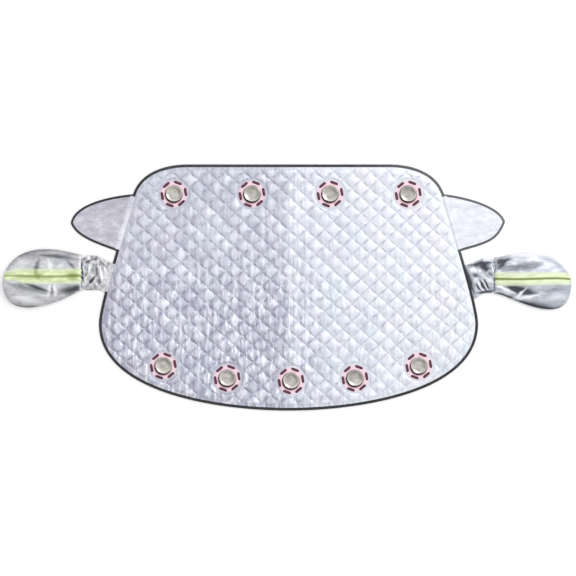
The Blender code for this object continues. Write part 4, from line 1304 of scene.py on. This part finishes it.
# %% Bag finishes
def bag_finish():
    """Silver cloth; its soft ripples, fine streaks and folds get painted light and shade."""
    cloth = Surface("bag_cloth")
    place = cloth.place()
    x, _, _ = cloth.axes(place)
    shade = cloth.attribute("shade")
    ripple = cloth.noise(cloth.stretched(place, (20, 34, 30)), 1.0, 3.0, 0.6)
    fine = cloth.noise(place, 300.0, 2.0)
    tone = cloth.mix(cloth.between(x, -0.5, 0.5), (0.54, 0.54, 0.57), (0.49, 0.53, 0.60))
    # Painted light and painted shade on the ripples.
    tone = cloth.mix(cloth.between(ripple, 0.48, 0.70) * 0.60, tone, (0.80, 0.81, 0.86))
    tone = cloth.mix(cloth.between(ripple, 0.46, 0.30) * 0.50, tone, (0.36, 0.38, 0.43))
    streaks = cloth.noise(cloth.stretched(place, (26, 120, 60)), 1.0, 3.0, 0.6)
    # Painted light and painted shade on the streaks.
    tone = cloth.mix(cloth.between(streaks, 0.54, 0.66) * 0.35, tone, (0.88, 0.89, 0.93))
    tone = cloth.mix(cloth.between(streaks, 0.46, 0.34) * 0.30, tone, (0.24, 0.25, 0.29))
    # Painted shade and painted light on the folds, from the shade numbers.
    tone = cloth.mix(shade, tone, (0.060, 0.066, 0.078))
    tone = cloth.mix(shade * -1, tone, (0.90, 0.91, 0.94))
    return cloth.set(
        base_color=tone,
        metallic=0.50,
        roughness=0.30 + ripple * 0.16,
        normal=cloth.bump(ripple * 0.9 + streaks * 0.35 + fine * 0.06, 0.0030, 0.5),
    )


def tape_finish():
    """Yellow-green tape of small prisms: paler at its rims, with a dark line sewn along its middle."""
    tape = Surface("reflective_tape")
    place = tape.place()
    x, _, _ = tape.axes(place)
    prisms = tape.cells(place, 420.0)
    line = tape.attribute("line")
    rim = tape.attribute("rim")
    shade = tape.attribute("shade")
    tape_mottle = tape.noise(tape.stretched(place, (26, 70, 60)), 1.0, 3.0)
    rightness = tape.between(x, -0.5, 0.5)
    # Darker and paler patches across the tape.
    tone = tape.mix(tape.between(tape_mottle, 0.36, 0.66), (0.60, 0.68, 0.36), (0.82, 0.94, 0.56))
    tone = tape.mix(rightness * 0.50, tone, (0.74, 0.82, 0.60))
    tone = tape.mix(rim * 0.60, tone, (0.66, 0.69, 0.66))
    tone = tape.mix(shade * 0.90, tone, (0.20, 0.25, 0.035))
    tone = tape.mix(shade * -0.6, tone, (0.92, 0.97, 0.80))
    tone = tape.mix(line * (0.70 + rightness * 0.25), tone, (0.19, 0.24, 0.050))
    return tape.set(
        base_color=tone,
        roughness=0.36 + tape_mottle * 0.12,
        metallic=0.1,
        normal=tape.bump(prisms + tape_mottle * 0.4, 0.0006, 0.4),
    )


def elastic_finish():
    elastic = Surface("elastic")
    x, _, _ = elastic.axes(elastic.place())
    ribs = (x * 3000).sine()
    ribbed = elastic.bump(ribs, 0.0004, 0.6)
    return elastic.set(base_color=(0.82, 0.83, 0.86), roughness=0.8, normal=ribbed)


BAG = bag_finish()
TAPE = tape_finish()
ELASTIC = elastic_finish()
print("bag finishes", BAG.material.name, TAPE.material.name, ELASTIC.material.name)

# %% [markdown]
# ## Sizes and folds of the two covers
#
# Both covers are described as if they were on the right, and the left one is mirrored at the end. Each
# has its own outline and its own folds, read off the photograph as short lines beside the bag's neck. A
# fold with a depth below zero is a ridge, and a shade below zero is light.

# %% Bag sizes and folds
SEAM_LEVEL = 0.0085
MOUTH_HALF = 0.0725
HEM = 0.016
HEM_WAVE = 0.0042
HEM_LIGHT = {"left": -0.9, "right": -0.2}
MOUTH_DROP = 0.24
CROWN_AT_MOUTH = 0.022
CROWN_AT_MIDDLE = 0.032
CROWN_FULL_AT = 0.45
TAPE_HALF = 0.025
TAPE_LINE_HALF = 0.003
TAPE_SWAY = 0.0016
FOLD_WANDER = 0.0026
FOLD_WANDERS_IN = 0.019
BAG_ROWS = 150
BAG_WALL = 0.0010
COLUMN_SPLITS = 8
TO_TAPE = (0, 0.10, 0.32, 0.56, 0.80)
LOW_COLUMNS = 34
LEAST_SHARE = 0.02
ALMOST_TIP = 0.999
TOP_ROUND = 0.60
UNDER_ROUND = 0.32
SWELL_ENDS = (0.50, 0.62)
CRUMPLE_SIZE = (0.030, 0.018)
SMALL_CRUMPLE_SIZE = (0.011, 0.009)
GATHER_SIZE = (0.03, 0.03)
GATHER_DEPTH = 0.0014
GATHER_WAVES = 46
GATHERS_END = 0.22
LEAST_HEIGHT = 0.15
HEM_RINGS = 5

COVERS = {
    "left": dict(
        strap_top=0.0515, strap_drop=0.111, strap_length=0.110, neck_y=0.0585, length=0.315,
        tip_y=-0.0365, upper_root=(0.270, 0.078), upper_tip=0.022, lower_root=(0.034, -0.029),
        lower_tip=0.186, tape_y=-0.0135, over_binding=True, seed=21,
        dark_edge=(0.75, 0.55, 1.00), light_edge=(0.35, 0.00, 0.80), tape_swell=0.20, ruffled=1.00,
    ),
    "right": dict(
        strap_top=0.0555, strap_drop=0.135, strap_length=0.104, neck_y=0.0465, length=0.304,
        tip_y=-0.0285, upper_root=(0.250, 0.068), upper_tip=0.026, lower_root=(0.054, -0.010),
        lower_tip=0.200, tape_y=-0.0120, over_binding=False, seed=22,
        dark_edge=(1.00, 0.00, 0.85), light_edge=(-0.60, 0.10, 0.80), tape_swell=0.04, ruffled=0.45,
    ),
}
# A fold: its start and end from the neck's middle, how deep it is, how wide, and its painted shade.
BAG_FOLDS = {
    "left": [
        ((0.296, -0.046), (0.124, -0.082), 0.0080, 0.0130, 0.62),
        ((0.222, -0.044), (0.126, -0.074), 0.0040, 0.0066, 0.95),
        ((0.168, 0.056), (0.186, -0.012), 0.0070, 0.0090, 0.85),
        ((0.135, -0.100), (0.121, -0.036), -0.0030, 0.0056, -1.10),
        ((0.119, -0.098), (0.115, -0.044), 0.0030, 0.0040, 0.90),
        ((0.101, -0.096), (0.109, -0.036), -0.0030, 0.0056, -1.10),
        ((0.096, -0.080), (0.006, -0.060), 0.0070, 0.0170, 1.00),
        ((0.040, -0.066), (-0.006, -0.060), 0.0030, 0.0090, 0.95),
        ((-0.010, 0.050), (0.165, 0.072), 0.0030, 0.0085, 0.60),
        ((0.040, 0.068), (0.270, 0.074), 0.0010, 0.0180, 0.50),
        ((0.060, 0.048), (0.024, 0.012), 0.0040, 0.0080, 0.85),
        ((0.132, 0.052), (0.116, 0.004), -0.0020, 0.0090, -0.90),
        ((0.100, 0.014), (0.066, 0.044), -0.0010, 0.0090, -0.50),
        ((0.295, 0.000), (0.200, 0.052), -0.0010, 0.0160, -0.35),
        ((0.285, -0.100), (0.150, -0.120), -0.0020, 0.0130, -0.70),
        ((0.062, -0.013), (0.008, -0.013), 0.0020, 0.0180, 0.95),
        ((0.188, -0.018), (0.156, -0.009), 0.0020, 0.0130, 1.00),
    ],
    "right": [
        ((-0.020, 0.048), (0.062, 0.068), 0.0060, 0.0110, 1.30),
        ((0.044, 0.062), (0.010, 0.024), 0.0030, 0.0130, 1.15),
        ((0.024, 0.022), (0.190, 0.048), 0.0060, 0.0140, 0.72),
        ((0.036, -0.048), (0.160, -0.068), 0.0080, 0.0180, 1.60),
        ((0.082, -0.090), (0.127, -0.046), -0.0030, 0.0050, -2.20),
        ((0.062, -0.094), (0.174, -0.078), -0.0040, 0.0064, -2.00),
        ((0.070, -0.110), (0.230, -0.124), 0.0050, 0.0150, 0.95),
        ((0.006, -0.040), (0.086, -0.072), -0.0030, 0.0070, -1.60),
        ((0.170, -0.060), (0.300, -0.054), 0.0030, 0.0170, 0.45),
        ((0.190, -0.098), (0.285, -0.078), -0.0010, 0.0150, -0.40),
        ((0.050, 0.086), (0.215, 0.086), -0.0020, 0.0180, -0.80),
    ],
}
STRAP_FOLDS = {
    "left": [
        ((0.004, 0.030), (-0.004, -0.045), 0.0060, 0.0042, 0.70),
        ((-0.006, 0.035), (-0.034, 0.052), 0.0060, 0.0040, 0.90),
        ((-0.034, 0.054), (-0.070, 0.058), 0.0050, 0.0034, 0.80),
        ((-0.054, 0.040), (-0.056, -0.009), 0.0070, 0.0060, 0.85),
        ((-0.056, -0.009), (-0.030, -0.045), 0.0060, 0.0050, 0.80),
        ((-0.022, -0.050), (-0.046, -0.020), 0.0040, 0.0040, 0.60),
        ((-0.070, 0.045), (-0.100, 0.020), 0.0050, 0.0036, 0.75),
        ((-0.075, -0.010), (-0.062, -0.060), 0.0050, 0.0040, 0.55),
        ((-0.018, 0.020), (-0.040, 0.036), -0.0040, 0.0050, -1.10),
        ((-0.040, 0.030), (-0.018, -0.020), -0.0040, 0.0045, -1.10),
        ((-0.072, 0.030), (-0.080, -0.050), -0.0040, 0.0060, -1.00),
        ((-0.010, -0.020), (-0.014, -0.055), -0.0030, 0.0040, -0.90),
        ((-0.090, 0.010), (-0.104, -0.040), -0.0020, 0.0100, -0.60),
        ((0.000, -0.068), (-0.078, -0.070), 0.0020, 0.0028, 0.90),
    ],
    "right": [
        ((-0.100, 0.040), (-0.004, 0.052), 0.0040, 0.0110, 1.40),
        ((-0.054, 0.032), (-0.016, 0.026), 0.0060, 0.0110, 1.10),
        ((-0.012, 0.038), (0.000, 0.006), -0.0030, 0.0052, -1.30),
        ((-0.026, 0.020), (-0.010, -0.004), 0.0040, 0.0060, 0.70),
        ((-0.088, 0.010), (-0.062, -0.006), 0.0040, 0.0130, 1.00),
        ((-0.057, -0.018), (-0.030, -0.060), 0.0070, 0.0042, 1.60),
        ((-0.042, -0.016), (-0.018, -0.054), 0.0060, 0.0040, 1.40),
        ((-0.070, -0.032), (-0.052, -0.064), 0.0060, 0.0040, 1.20),
        ((-0.0495, -0.018), (-0.024, -0.056), -0.0040, 0.0034, -2.20),
        ((-0.064, -0.026), (-0.042, -0.062), -0.0030, 0.0036, -1.80),
        ((-0.074, -0.072), (0.004, -0.060), 0.0030, 0.0060, 1.40),
        ((-0.114, 0.036), (-0.080, -0.072), 0.0030, 0.0066, 1.50),
        ((-0.092, 0.024), (-0.050, 0.010), -0.0020, 0.0080, -0.80),
        ((-0.034, -0.010), (0.002, -0.030), -0.0020, 0.0090, -1.00),
        ((-0.100, 0.030), (-0.090, 0.012), -0.0020, 0.0060, -0.80),
    ],
}
for side in COVERS:
    print(side, "cover", len(BAG_FOLDS[side]), "folds, its strap", len(STRAP_FOLDS[side]))

# %% [markdown]
# ## The bag's skin
#
# Each row of points runs once round the bag: over the top from the lower edge to the upper one, then back
# along the floor. The tape's four lines are among the columns, so the tape can be cut from the same skin.
# The folds sink or lift the points and also paint shade and light on them, because a fold in thin cloth
# shows more as tone than as height.

# %% Bag shape

def neck_of(side):
    """The middle of the bag's mouth on the right side, in plan."""
    cover = COVERS[side]
    edge = point_at(height_at(cover["neck_y"]))
    return np.array((edge[0] + cover["strap_length"], cover["neck_y"]))


def bag_edges(side, at):
    """The bag's lower and upper edges at shares of the way from its hem to its tip."""
    cover = COVERS[side]
    neck = neck_of(side)
    tip = neck + (cover["length"], cover["tip_y"])
    ends = []
    for turn, root, handle in (
        (-1, cover["lower_root"], (0, -cover["lower_tip"])),
        (1, cover["upper_root"], (0, cover["upper_tip"])),
    ):
        start = neck + (HEM, turn * MOUTH_HALF)
        a = at[:, None]
        rest = 1 - a
        near = start * rest**3 + (start + root) * 3 * rest**2 * a
        ends.append(near + (tip + handle) * 3 * rest * a**2 + tip * a**3)
    return ends


def split_shares(shares, splits):
    fine = [np.linspace(a, b, splits, endpoint=False) for a, b in zip(shares, shares[1:])]
    return np.concatenate(fine + [[shares[-1]]])


def top_shares(low_y, high_y, tape_y, fullness):
    """Shares across the bag's top, with the tape's four lines among them."""
    offsets = np.array((-TAPE_HALF, -TAPE_LINE_HALF, TAPE_LINE_HALF, TAPE_HALF)) * fullness
    least = LEAST_SHARE * np.arange(1, 5)
    lines = np.clip((tape_y + offsets - low_y) / (high_y - low_y), least, 1 - least[::-1])
    below = [lines[0] * share for share in TO_TAPE]
    above = [1 - (1 - lines[3]) * share for share in reversed(TO_TAPE)]
    return split_shares(below + list(lines) + above, COLUMN_SPLITS)


TAPE_START = len(TO_TAPE) * COLUMN_SPLITS
TAPE_END = (len(TO_TAPE) + 3) * COLUMN_SPLITS


def fold_field(side, spots, folds):
    """How deep the folds sink each point, and the painted shade they give it; a fold fades towards both
    ends.
    """
    neck = neck_of(side)
    x, y = spots.T / FOLD_WANDERS_IN
    spots = spots + FOLD_WANDER * np.stack([bumps(x, y, 61), bumps(x, y, 62)], axis=1)
    depth = np.zeros(spots.shape[:-1])
    shade = np.zeros(spots.shape[:-1])
    for start, end, deep, width, dark in folds[side]:
        start, way = neck + start, np.array(end) - start
        share = np.clip(((spots - start) @ way) / (way @ way), 0, 1)
        away = np.linalg.norm(spots - start - share[..., None] * way, axis=-1)
        taper = 1 - 0.6 * np.abs(2 * share - 1) ** 1.5
        near = taper * np.exp(-((away / (width * taper)) ** 2))
        depth += deep * near
        shade += dark * near
    return depth, np.clip(shade, -1, 1)


def edge_shade(side, shares, along):
    """The bag's lower edge is dark and its upper one light or dark, over part of its length."""
    cover = COVERS[side]
    shade = 0
    for (amount, start, end), away in ((cover["dark_edge"], shares), (cover["light_edge"], 1 - shares)):
        reach = smooth(along, start - 0.1, start) * (1 - smooth(along, end, end + 0.1))
        shade = shade + amount * reach * (1 - smooth(away, 0.01, 0.07))
    return shade


def bag_grid(side):
    """The bag's skin as rows of points from mouth to tip, each row running once round the bag."""
    cover = COVERS[side]
    at = np.sin(math.pi / 2 * np.linspace(0, ALMOST_TIP, BAG_ROWS))
    lower, upper = bag_edges(side, at)
    tape_y = cover["neck_y"] + cover["tape_y"]
    low_shares = 0.5 + 0.5 * np.cos(np.linspace(0, math.pi, LOW_COLUMNS))
    seed = cover["seed"]
    rows, shades = [], []
    for index, share in enumerate(at):
        fullness = 1 + cover["tape_swell"] * (1 - 2 * smooth(share, *SWELL_ENDS))
        sway = TAPE_SWAY * math.sin(9 * share + seed)
        shares = top_shares(lower[index][1], upper[index][1], tape_y + sway, fullness)
        spots = lower[index] + shares[:, None] * (upper[index] - lower[index])
        bulge = np.clip(1 - (2 * shares - 1) ** 2, 0, 1) ** TOP_ROUND
        rising = smooth(share, 0, CROWN_FULL_AT)
        full = (CROWN_AT_MOUTH + (CROWN_AT_MIDDLE - CROWN_AT_MOUTH) * rising) * math.sqrt(1 - share**3)
        fade = min(1, 4 * (1 - share))
        x, y = spots.T
        crumple = 0.0011 * sized_bumps(x, y, CRUMPLE_SIZE, seed)
        crumple = crumple + 0.0004 * sized_bumps(x, y, SMALL_CRUMPLE_SIZE, seed + 4)
        wander = 2 * sized_bumps(x, y, GATHER_SIZE, seed + 8)
        gathers = GATHER_DEPTH * np.sin(shares * GATHER_WAVES + wander)
        gathers = gathers * max(0, 1 - share / GATHERS_END)
        sunk, shade = fold_field(side, spots, BAG_FOLDS)
        level = full * bulge + (crumple + gathers - sunk) * bulge * fade
        level = SEAM_LEVEL + np.maximum(level, LEAST_HEIGHT * full * bulge)
        top = np.column_stack([spots, level])
        spots = lower[index] + low_shares[1:-1, None] * (upper[index] - lower[index])
        arch = np.clip(1 - (2 * low_shares[1:-1] - 1) ** 2, 0, 1) ** UNDER_ROUND
        floor_reach = min(1, math.sqrt(6 * (1 - share)))
        bottom = np.column_stack([spots, SEAM_LEVEL * (1 - arch * floor_reach)])
        rows.append(np.concatenate([top, bottom]))
        shade = np.clip(shade + edge_shade(side, shares, share), -1, 1)
        shades.append(np.concatenate([shade, np.zeros(len(bottom))]))
    wave = HEM_WAVE * (0.5 + 0.5 * np.sin(np.arange(len(rows[0])) * 1.1))
    hem = []
    hem_shades = []
    for step in range(HEM_RINGS, 0, -1):
        row = rows[0] - (HEM * step / HEM_RINGS, 0, 0)
        row[:, 0] += wave * step / HEM_RINGS
        row[:, 2] -= np.maximum(row[:, 2] - SEAM_LEVEL, 0) * MOUTH_DROP * (step / HEM_RINGS) ** 2
        hem.append(row)
        hem_shades.append(shades[0] + (HEM_LIGHT[side] - shades[0]) * (step / HEM_RINGS) ** 1.5)
    return np.array(hem + rows), np.array(hem_shades + shades)


def skin_normals(grid):
    """Outward unit normals of a grid that closes on itself across its columns."""
    along = np.gradient(grid, axis=0)
    across = np.roll(grid, -1, axis=1) - np.roll(grid, 1, axis=1)
    out = np.cross(along, across)
    length = np.linalg.norm(out, axis=-1, keepdims=True)
    return out / np.maximum(length, 1e-12)


def to_side(grid, side):
    """Points on the left are the right ones mirrored."""
    return grid if side == "right" else grid * (-1, 1, 1)


def facing(faces, side):
    """The same faces with their outer side out, on either side."""
    return faces if side == "left" else [tuple(reversed(face)) for face in faces]


print("bag skin", BAG_ROWS + HEM_RINGS, "rows")

# %% [markdown]
# ## Bag, tape and elastic
#
# The bag gets a real wall from a Solidify modifier. The tape is cut from the same skin and lifted off it
# by less than a millimetre, so it follows every fold. The elastic is a band inside the hem.

# %% Build the mirror covers
TAPE_LIFT = 0.0004
TAPE_THICKNESS = 0.0007
TAPE_ENDS_AT = 0.45
ELASTIC_WIDTH = 0.0102
ELASTIC_THICKNESS = 0.0012
ELASTIC_CLEAR = 0.0008
ELASTIC_FROM_NECK = 0.004


def mirror_bag(side):
    grid, shade = bag_grid(side)
    rows, columns = grid.shape[:2]
    faces = grid_faces(rows, columns, wrap=True)
    faces.append(tuple((rows - 1) * columns + column for column in range(columns)))
    made = piece_of(
        f"{side}_mirror_bag", to_side(grid.reshape(-1, 3), side), facing(faces, side), BAG,
        [f"{side}_mirror_cover_upper", f"{side}_mirror_cover_lower"],
    )
    paint(made, "shade", shade)
    wall = made.modifiers.new("wall", "SOLIDIFY")
    wall.thickness = BAG_WALL
    wall.offset = -1
    return made, grid, shade


def reflective_tape(side, grid, shade):
    out = skin_normals(grid)
    strip = slice(TAPE_START, TAPE_END + 1)
    wide = np.abs(grid[:, TAPE_END, 1] - grid[:, TAPE_START, 1])
    last = int(np.flatnonzero(wide > TAPE_ENDS_AT * 2 * TAPE_HALF)[-1])
    rows = slice(0, last)
    under = grid[rows, strip] + out[rows, strip] * TAPE_LIFT
    over = grid[rows, strip] + out[rows, strip] * (TAPE_LIFT + TAPE_THICKNESS)
    points, faces = two_skins(over, under)
    made = piece_of(
        f"{side}_tape_band", to_side(points, side), facing(faces, side), TAPE,
        [f"{side}_reflective_tape"],
    )
    number = np.arange(over.shape[1])
    low, high = COLUMN_SPLITS - 1, 2 * COLUMN_SPLITS + 1
    line = ((number > low) & (number < high)).astype(float)
    from_middle = np.abs(2 * number / (len(number) - 1) - 1)
    paint(made, "line", np.tile(line, 2 * len(over)))
    paint(made, "rim", np.tile(smooth(from_middle, 0.6, 1.0), 2 * len(over)))
    paint(made, "shade", np.tile(shade[rows, strip].ravel(), 2))


def neck_elastic(side, grid):
    """A ribbed band just inside the hem."""
    out = skin_normals(grid)[1][:, 1:]
    loop = grid[0][:, 1:] - out * (BAG_WALL + ELASTIC_CLEAR)
    x = neck_of(side)[0] + ELASTIC_FROM_NECK
    rows = []
    section = [(0, 0), (ELASTIC_WIDTH, 0), (ELASTIC_WIDTH, ELASTIC_THICKNESS), (0, ELASTIC_THICKNESS)]
    for shift, inset in section:
        rows.append(np.column_stack([np.full(len(loop), x + shift), loop - out * inset]))
    band = np.array(rows)
    columns = band.shape[1]
    faces = grid_faces(4, columns, wrap=True)
    for column in range(columns):
        after = (column + 1) % columns
        faces.append((3 * columns + column, 3 * columns + after, after, column))
    made = piece_of(
        f"{side}_elastic_band", to_side(band.reshape(-1, 3), side), facing(faces, side), ELASTIC,
        [f"{side}_neck_elastic"],
    )
    round_mouth = float(np.linalg.norm(np.roll(loop, -1, axis=0) - loop, axis=1).sum())


for side in COVERS:
    bag, grid, shade = mirror_bag(side)
    reflective_tape(side, grid, shade)
    neck_elastic(side, grid)
    print(side, "bag", len(bag.data.polygons), "faces")

# %% [markdown]
# ## Scrunched straps
#
# A strap is a flat band that is shirred, so its cloth stands up in sharp crossing ridges. Two slanted
# families of ridges, both bent by noise, make the crumple, and placed folds add what the photograph
# shows most plainly.

# %% Straps
STRAP_ROWS = 96
STRAP_COLUMNS = 72
STRAP_LEVEL = 0.0010
STRAP_HUMP = 0.0055
STRAP_AT_MOUTH = 0.0062
STRAP_RIDGE = 0.0075
STRAP_SHEET = 0.0008
STRAP_TUCK_HALF = 0.048
STRAP_TUCK_LEVEL = 0.0055
STRAP_HALF = 0.068
STRAP_CLEAR = 0.0004
STRAP_TUCK = 0.012
STRAP_RISES_IN = 0.14
STRAP_LEAST_RISE = 0.0006
RIDGE_BEND = 0.40
RIDGE_BEND_SIZE = (0.028, 0.028)
FIRST_RIDGES = (0.028, 0.085)
SECOND_RIDGES = (0.036, 0.055)
RIDGE_SHARPNESS = 1.2


def strap_grid(side):
    """The strap's sheet as rows of points from the panel to the bag's mouth, and each point's painted
    shade.
    """
    cover = COVERS[side]
    shares = np.linspace(0, 1, STRAP_COLUMNS)
    top = FLAP_BOTTOM_Y - cover["strap_top"]
    heights = [height_at(top - cover["strap_drop"] * (1 - share)) for share in shares]
    root = np.array([point_at(height) for height in heights])
    start = -BINDING_WIDTH if cover["over_binding"] else STRAP_CLEAR
    root_level = BINDING_HEIGHT + STRAP_CLEAR if cover["over_binding"] else STRAP_LEVEL
    neck = neck_of(side)
    off = 2 * shares - 1
    mouth_x = np.full(STRAP_COLUMNS, neck[0] + STRAP_TUCK)
    mouth = np.column_stack([mouth_x, neck[1] + off * STRAP_TUCK_HALF])
    rows, shades = [], []
    seed = cover["seed"] + 20
    for along in np.linspace(0, 1, STRAP_ROWS):
        flat = root + (start, 0) + (mouth - root - (start, 0)) * along
        wide = neck[1] + off * STRAP_HALF
        spread = min(1, math.sin(math.pi * along) * along * 1.8)
        flat[:, 1] += (wide - flat[:, 1]) * spread
        x, y = flat.T
        bend = RIDGE_BEND * sized_bumps(x, y, RIDGE_BEND_SIZE, seed)
        across, up = FIRST_RIDGES
        first = 1 - np.abs(np.sin(math.pi * (x / across + y / up + bend)))
        across, up = SECOND_RIDGES
        second = 1 - np.abs(np.sin(math.pi * (x / across - y / up - bend + 0.3)))
        ridge = np.clip(0.60 * first**RIDGE_SHARPNESS + 0.50 * second**RIDGE_SHARPNESS, 0, 1)
        sunk, shade = fold_field(side, flat, STRAP_FOLDS)
        risen = smooth(along / STRAP_RISES_IN, 0, 1)
        base = root_level + (STRAP_TUCK_LEVEL - root_level) * along
        low = STRAP_LEVEL + (base - STRAP_LEVEL) * (1 - risen)
        side_drop = 1 - 0.5 * off**4
        gathered = STRAP_AT_MOUTH * smooth(along, 0.45, 0.90) * (1 - off**2) ** 0.7
        rise = STRAP_HUMP + gathered + STRAP_RIDGE * cover["ruffled"] * ridge - sunk
        rise = np.maximum(rise, STRAP_LEAST_RISE) * side_drop
        rows.append(np.column_stack([flat, low + rise * risen]))
        # Painted shade in the valleys between ridges and painted light on their crests, less where a fold
        # already paints.
        own = 0.45 * (1 - smooth(ridge, 0.02, 0.30)) - 0.60 * smooth(ridge, 0.40, 0.80)
        own = own * cover["ruffled"] * (1 - np.abs(shade))
        shades.append(np.clip(shade + own * risen, -1, 1))
    return np.array(rows), np.array(shades)


def mirror_strap(side):
    grid, shade = strap_grid(side)
    points, faces = two_skins(grid + (0, 0, STRAP_SHEET), grid)
    made = piece_of(
        f"{side}_shirred_strap", to_side(points, side), facing(faces, side), BAG,
        [f"{side}_mirror_strap"],
    )
    paint(made, "shade", np.tile(shade.ravel(), 2))
    return made


for side in COVERS:
    strap = mirror_strap(side)
    print(side, "strap", len(strap.data.polygons), "faces")

# %% [markdown]
#
# The dressed model's box is printed at the end. The dressed model has to stay within the frame's box,
# apart from a little that cloth may stand proud.

# %% Print the dressed box
low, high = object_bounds()
print("dressed box", tuple(round(value, 4) for value in (*low, *high)))
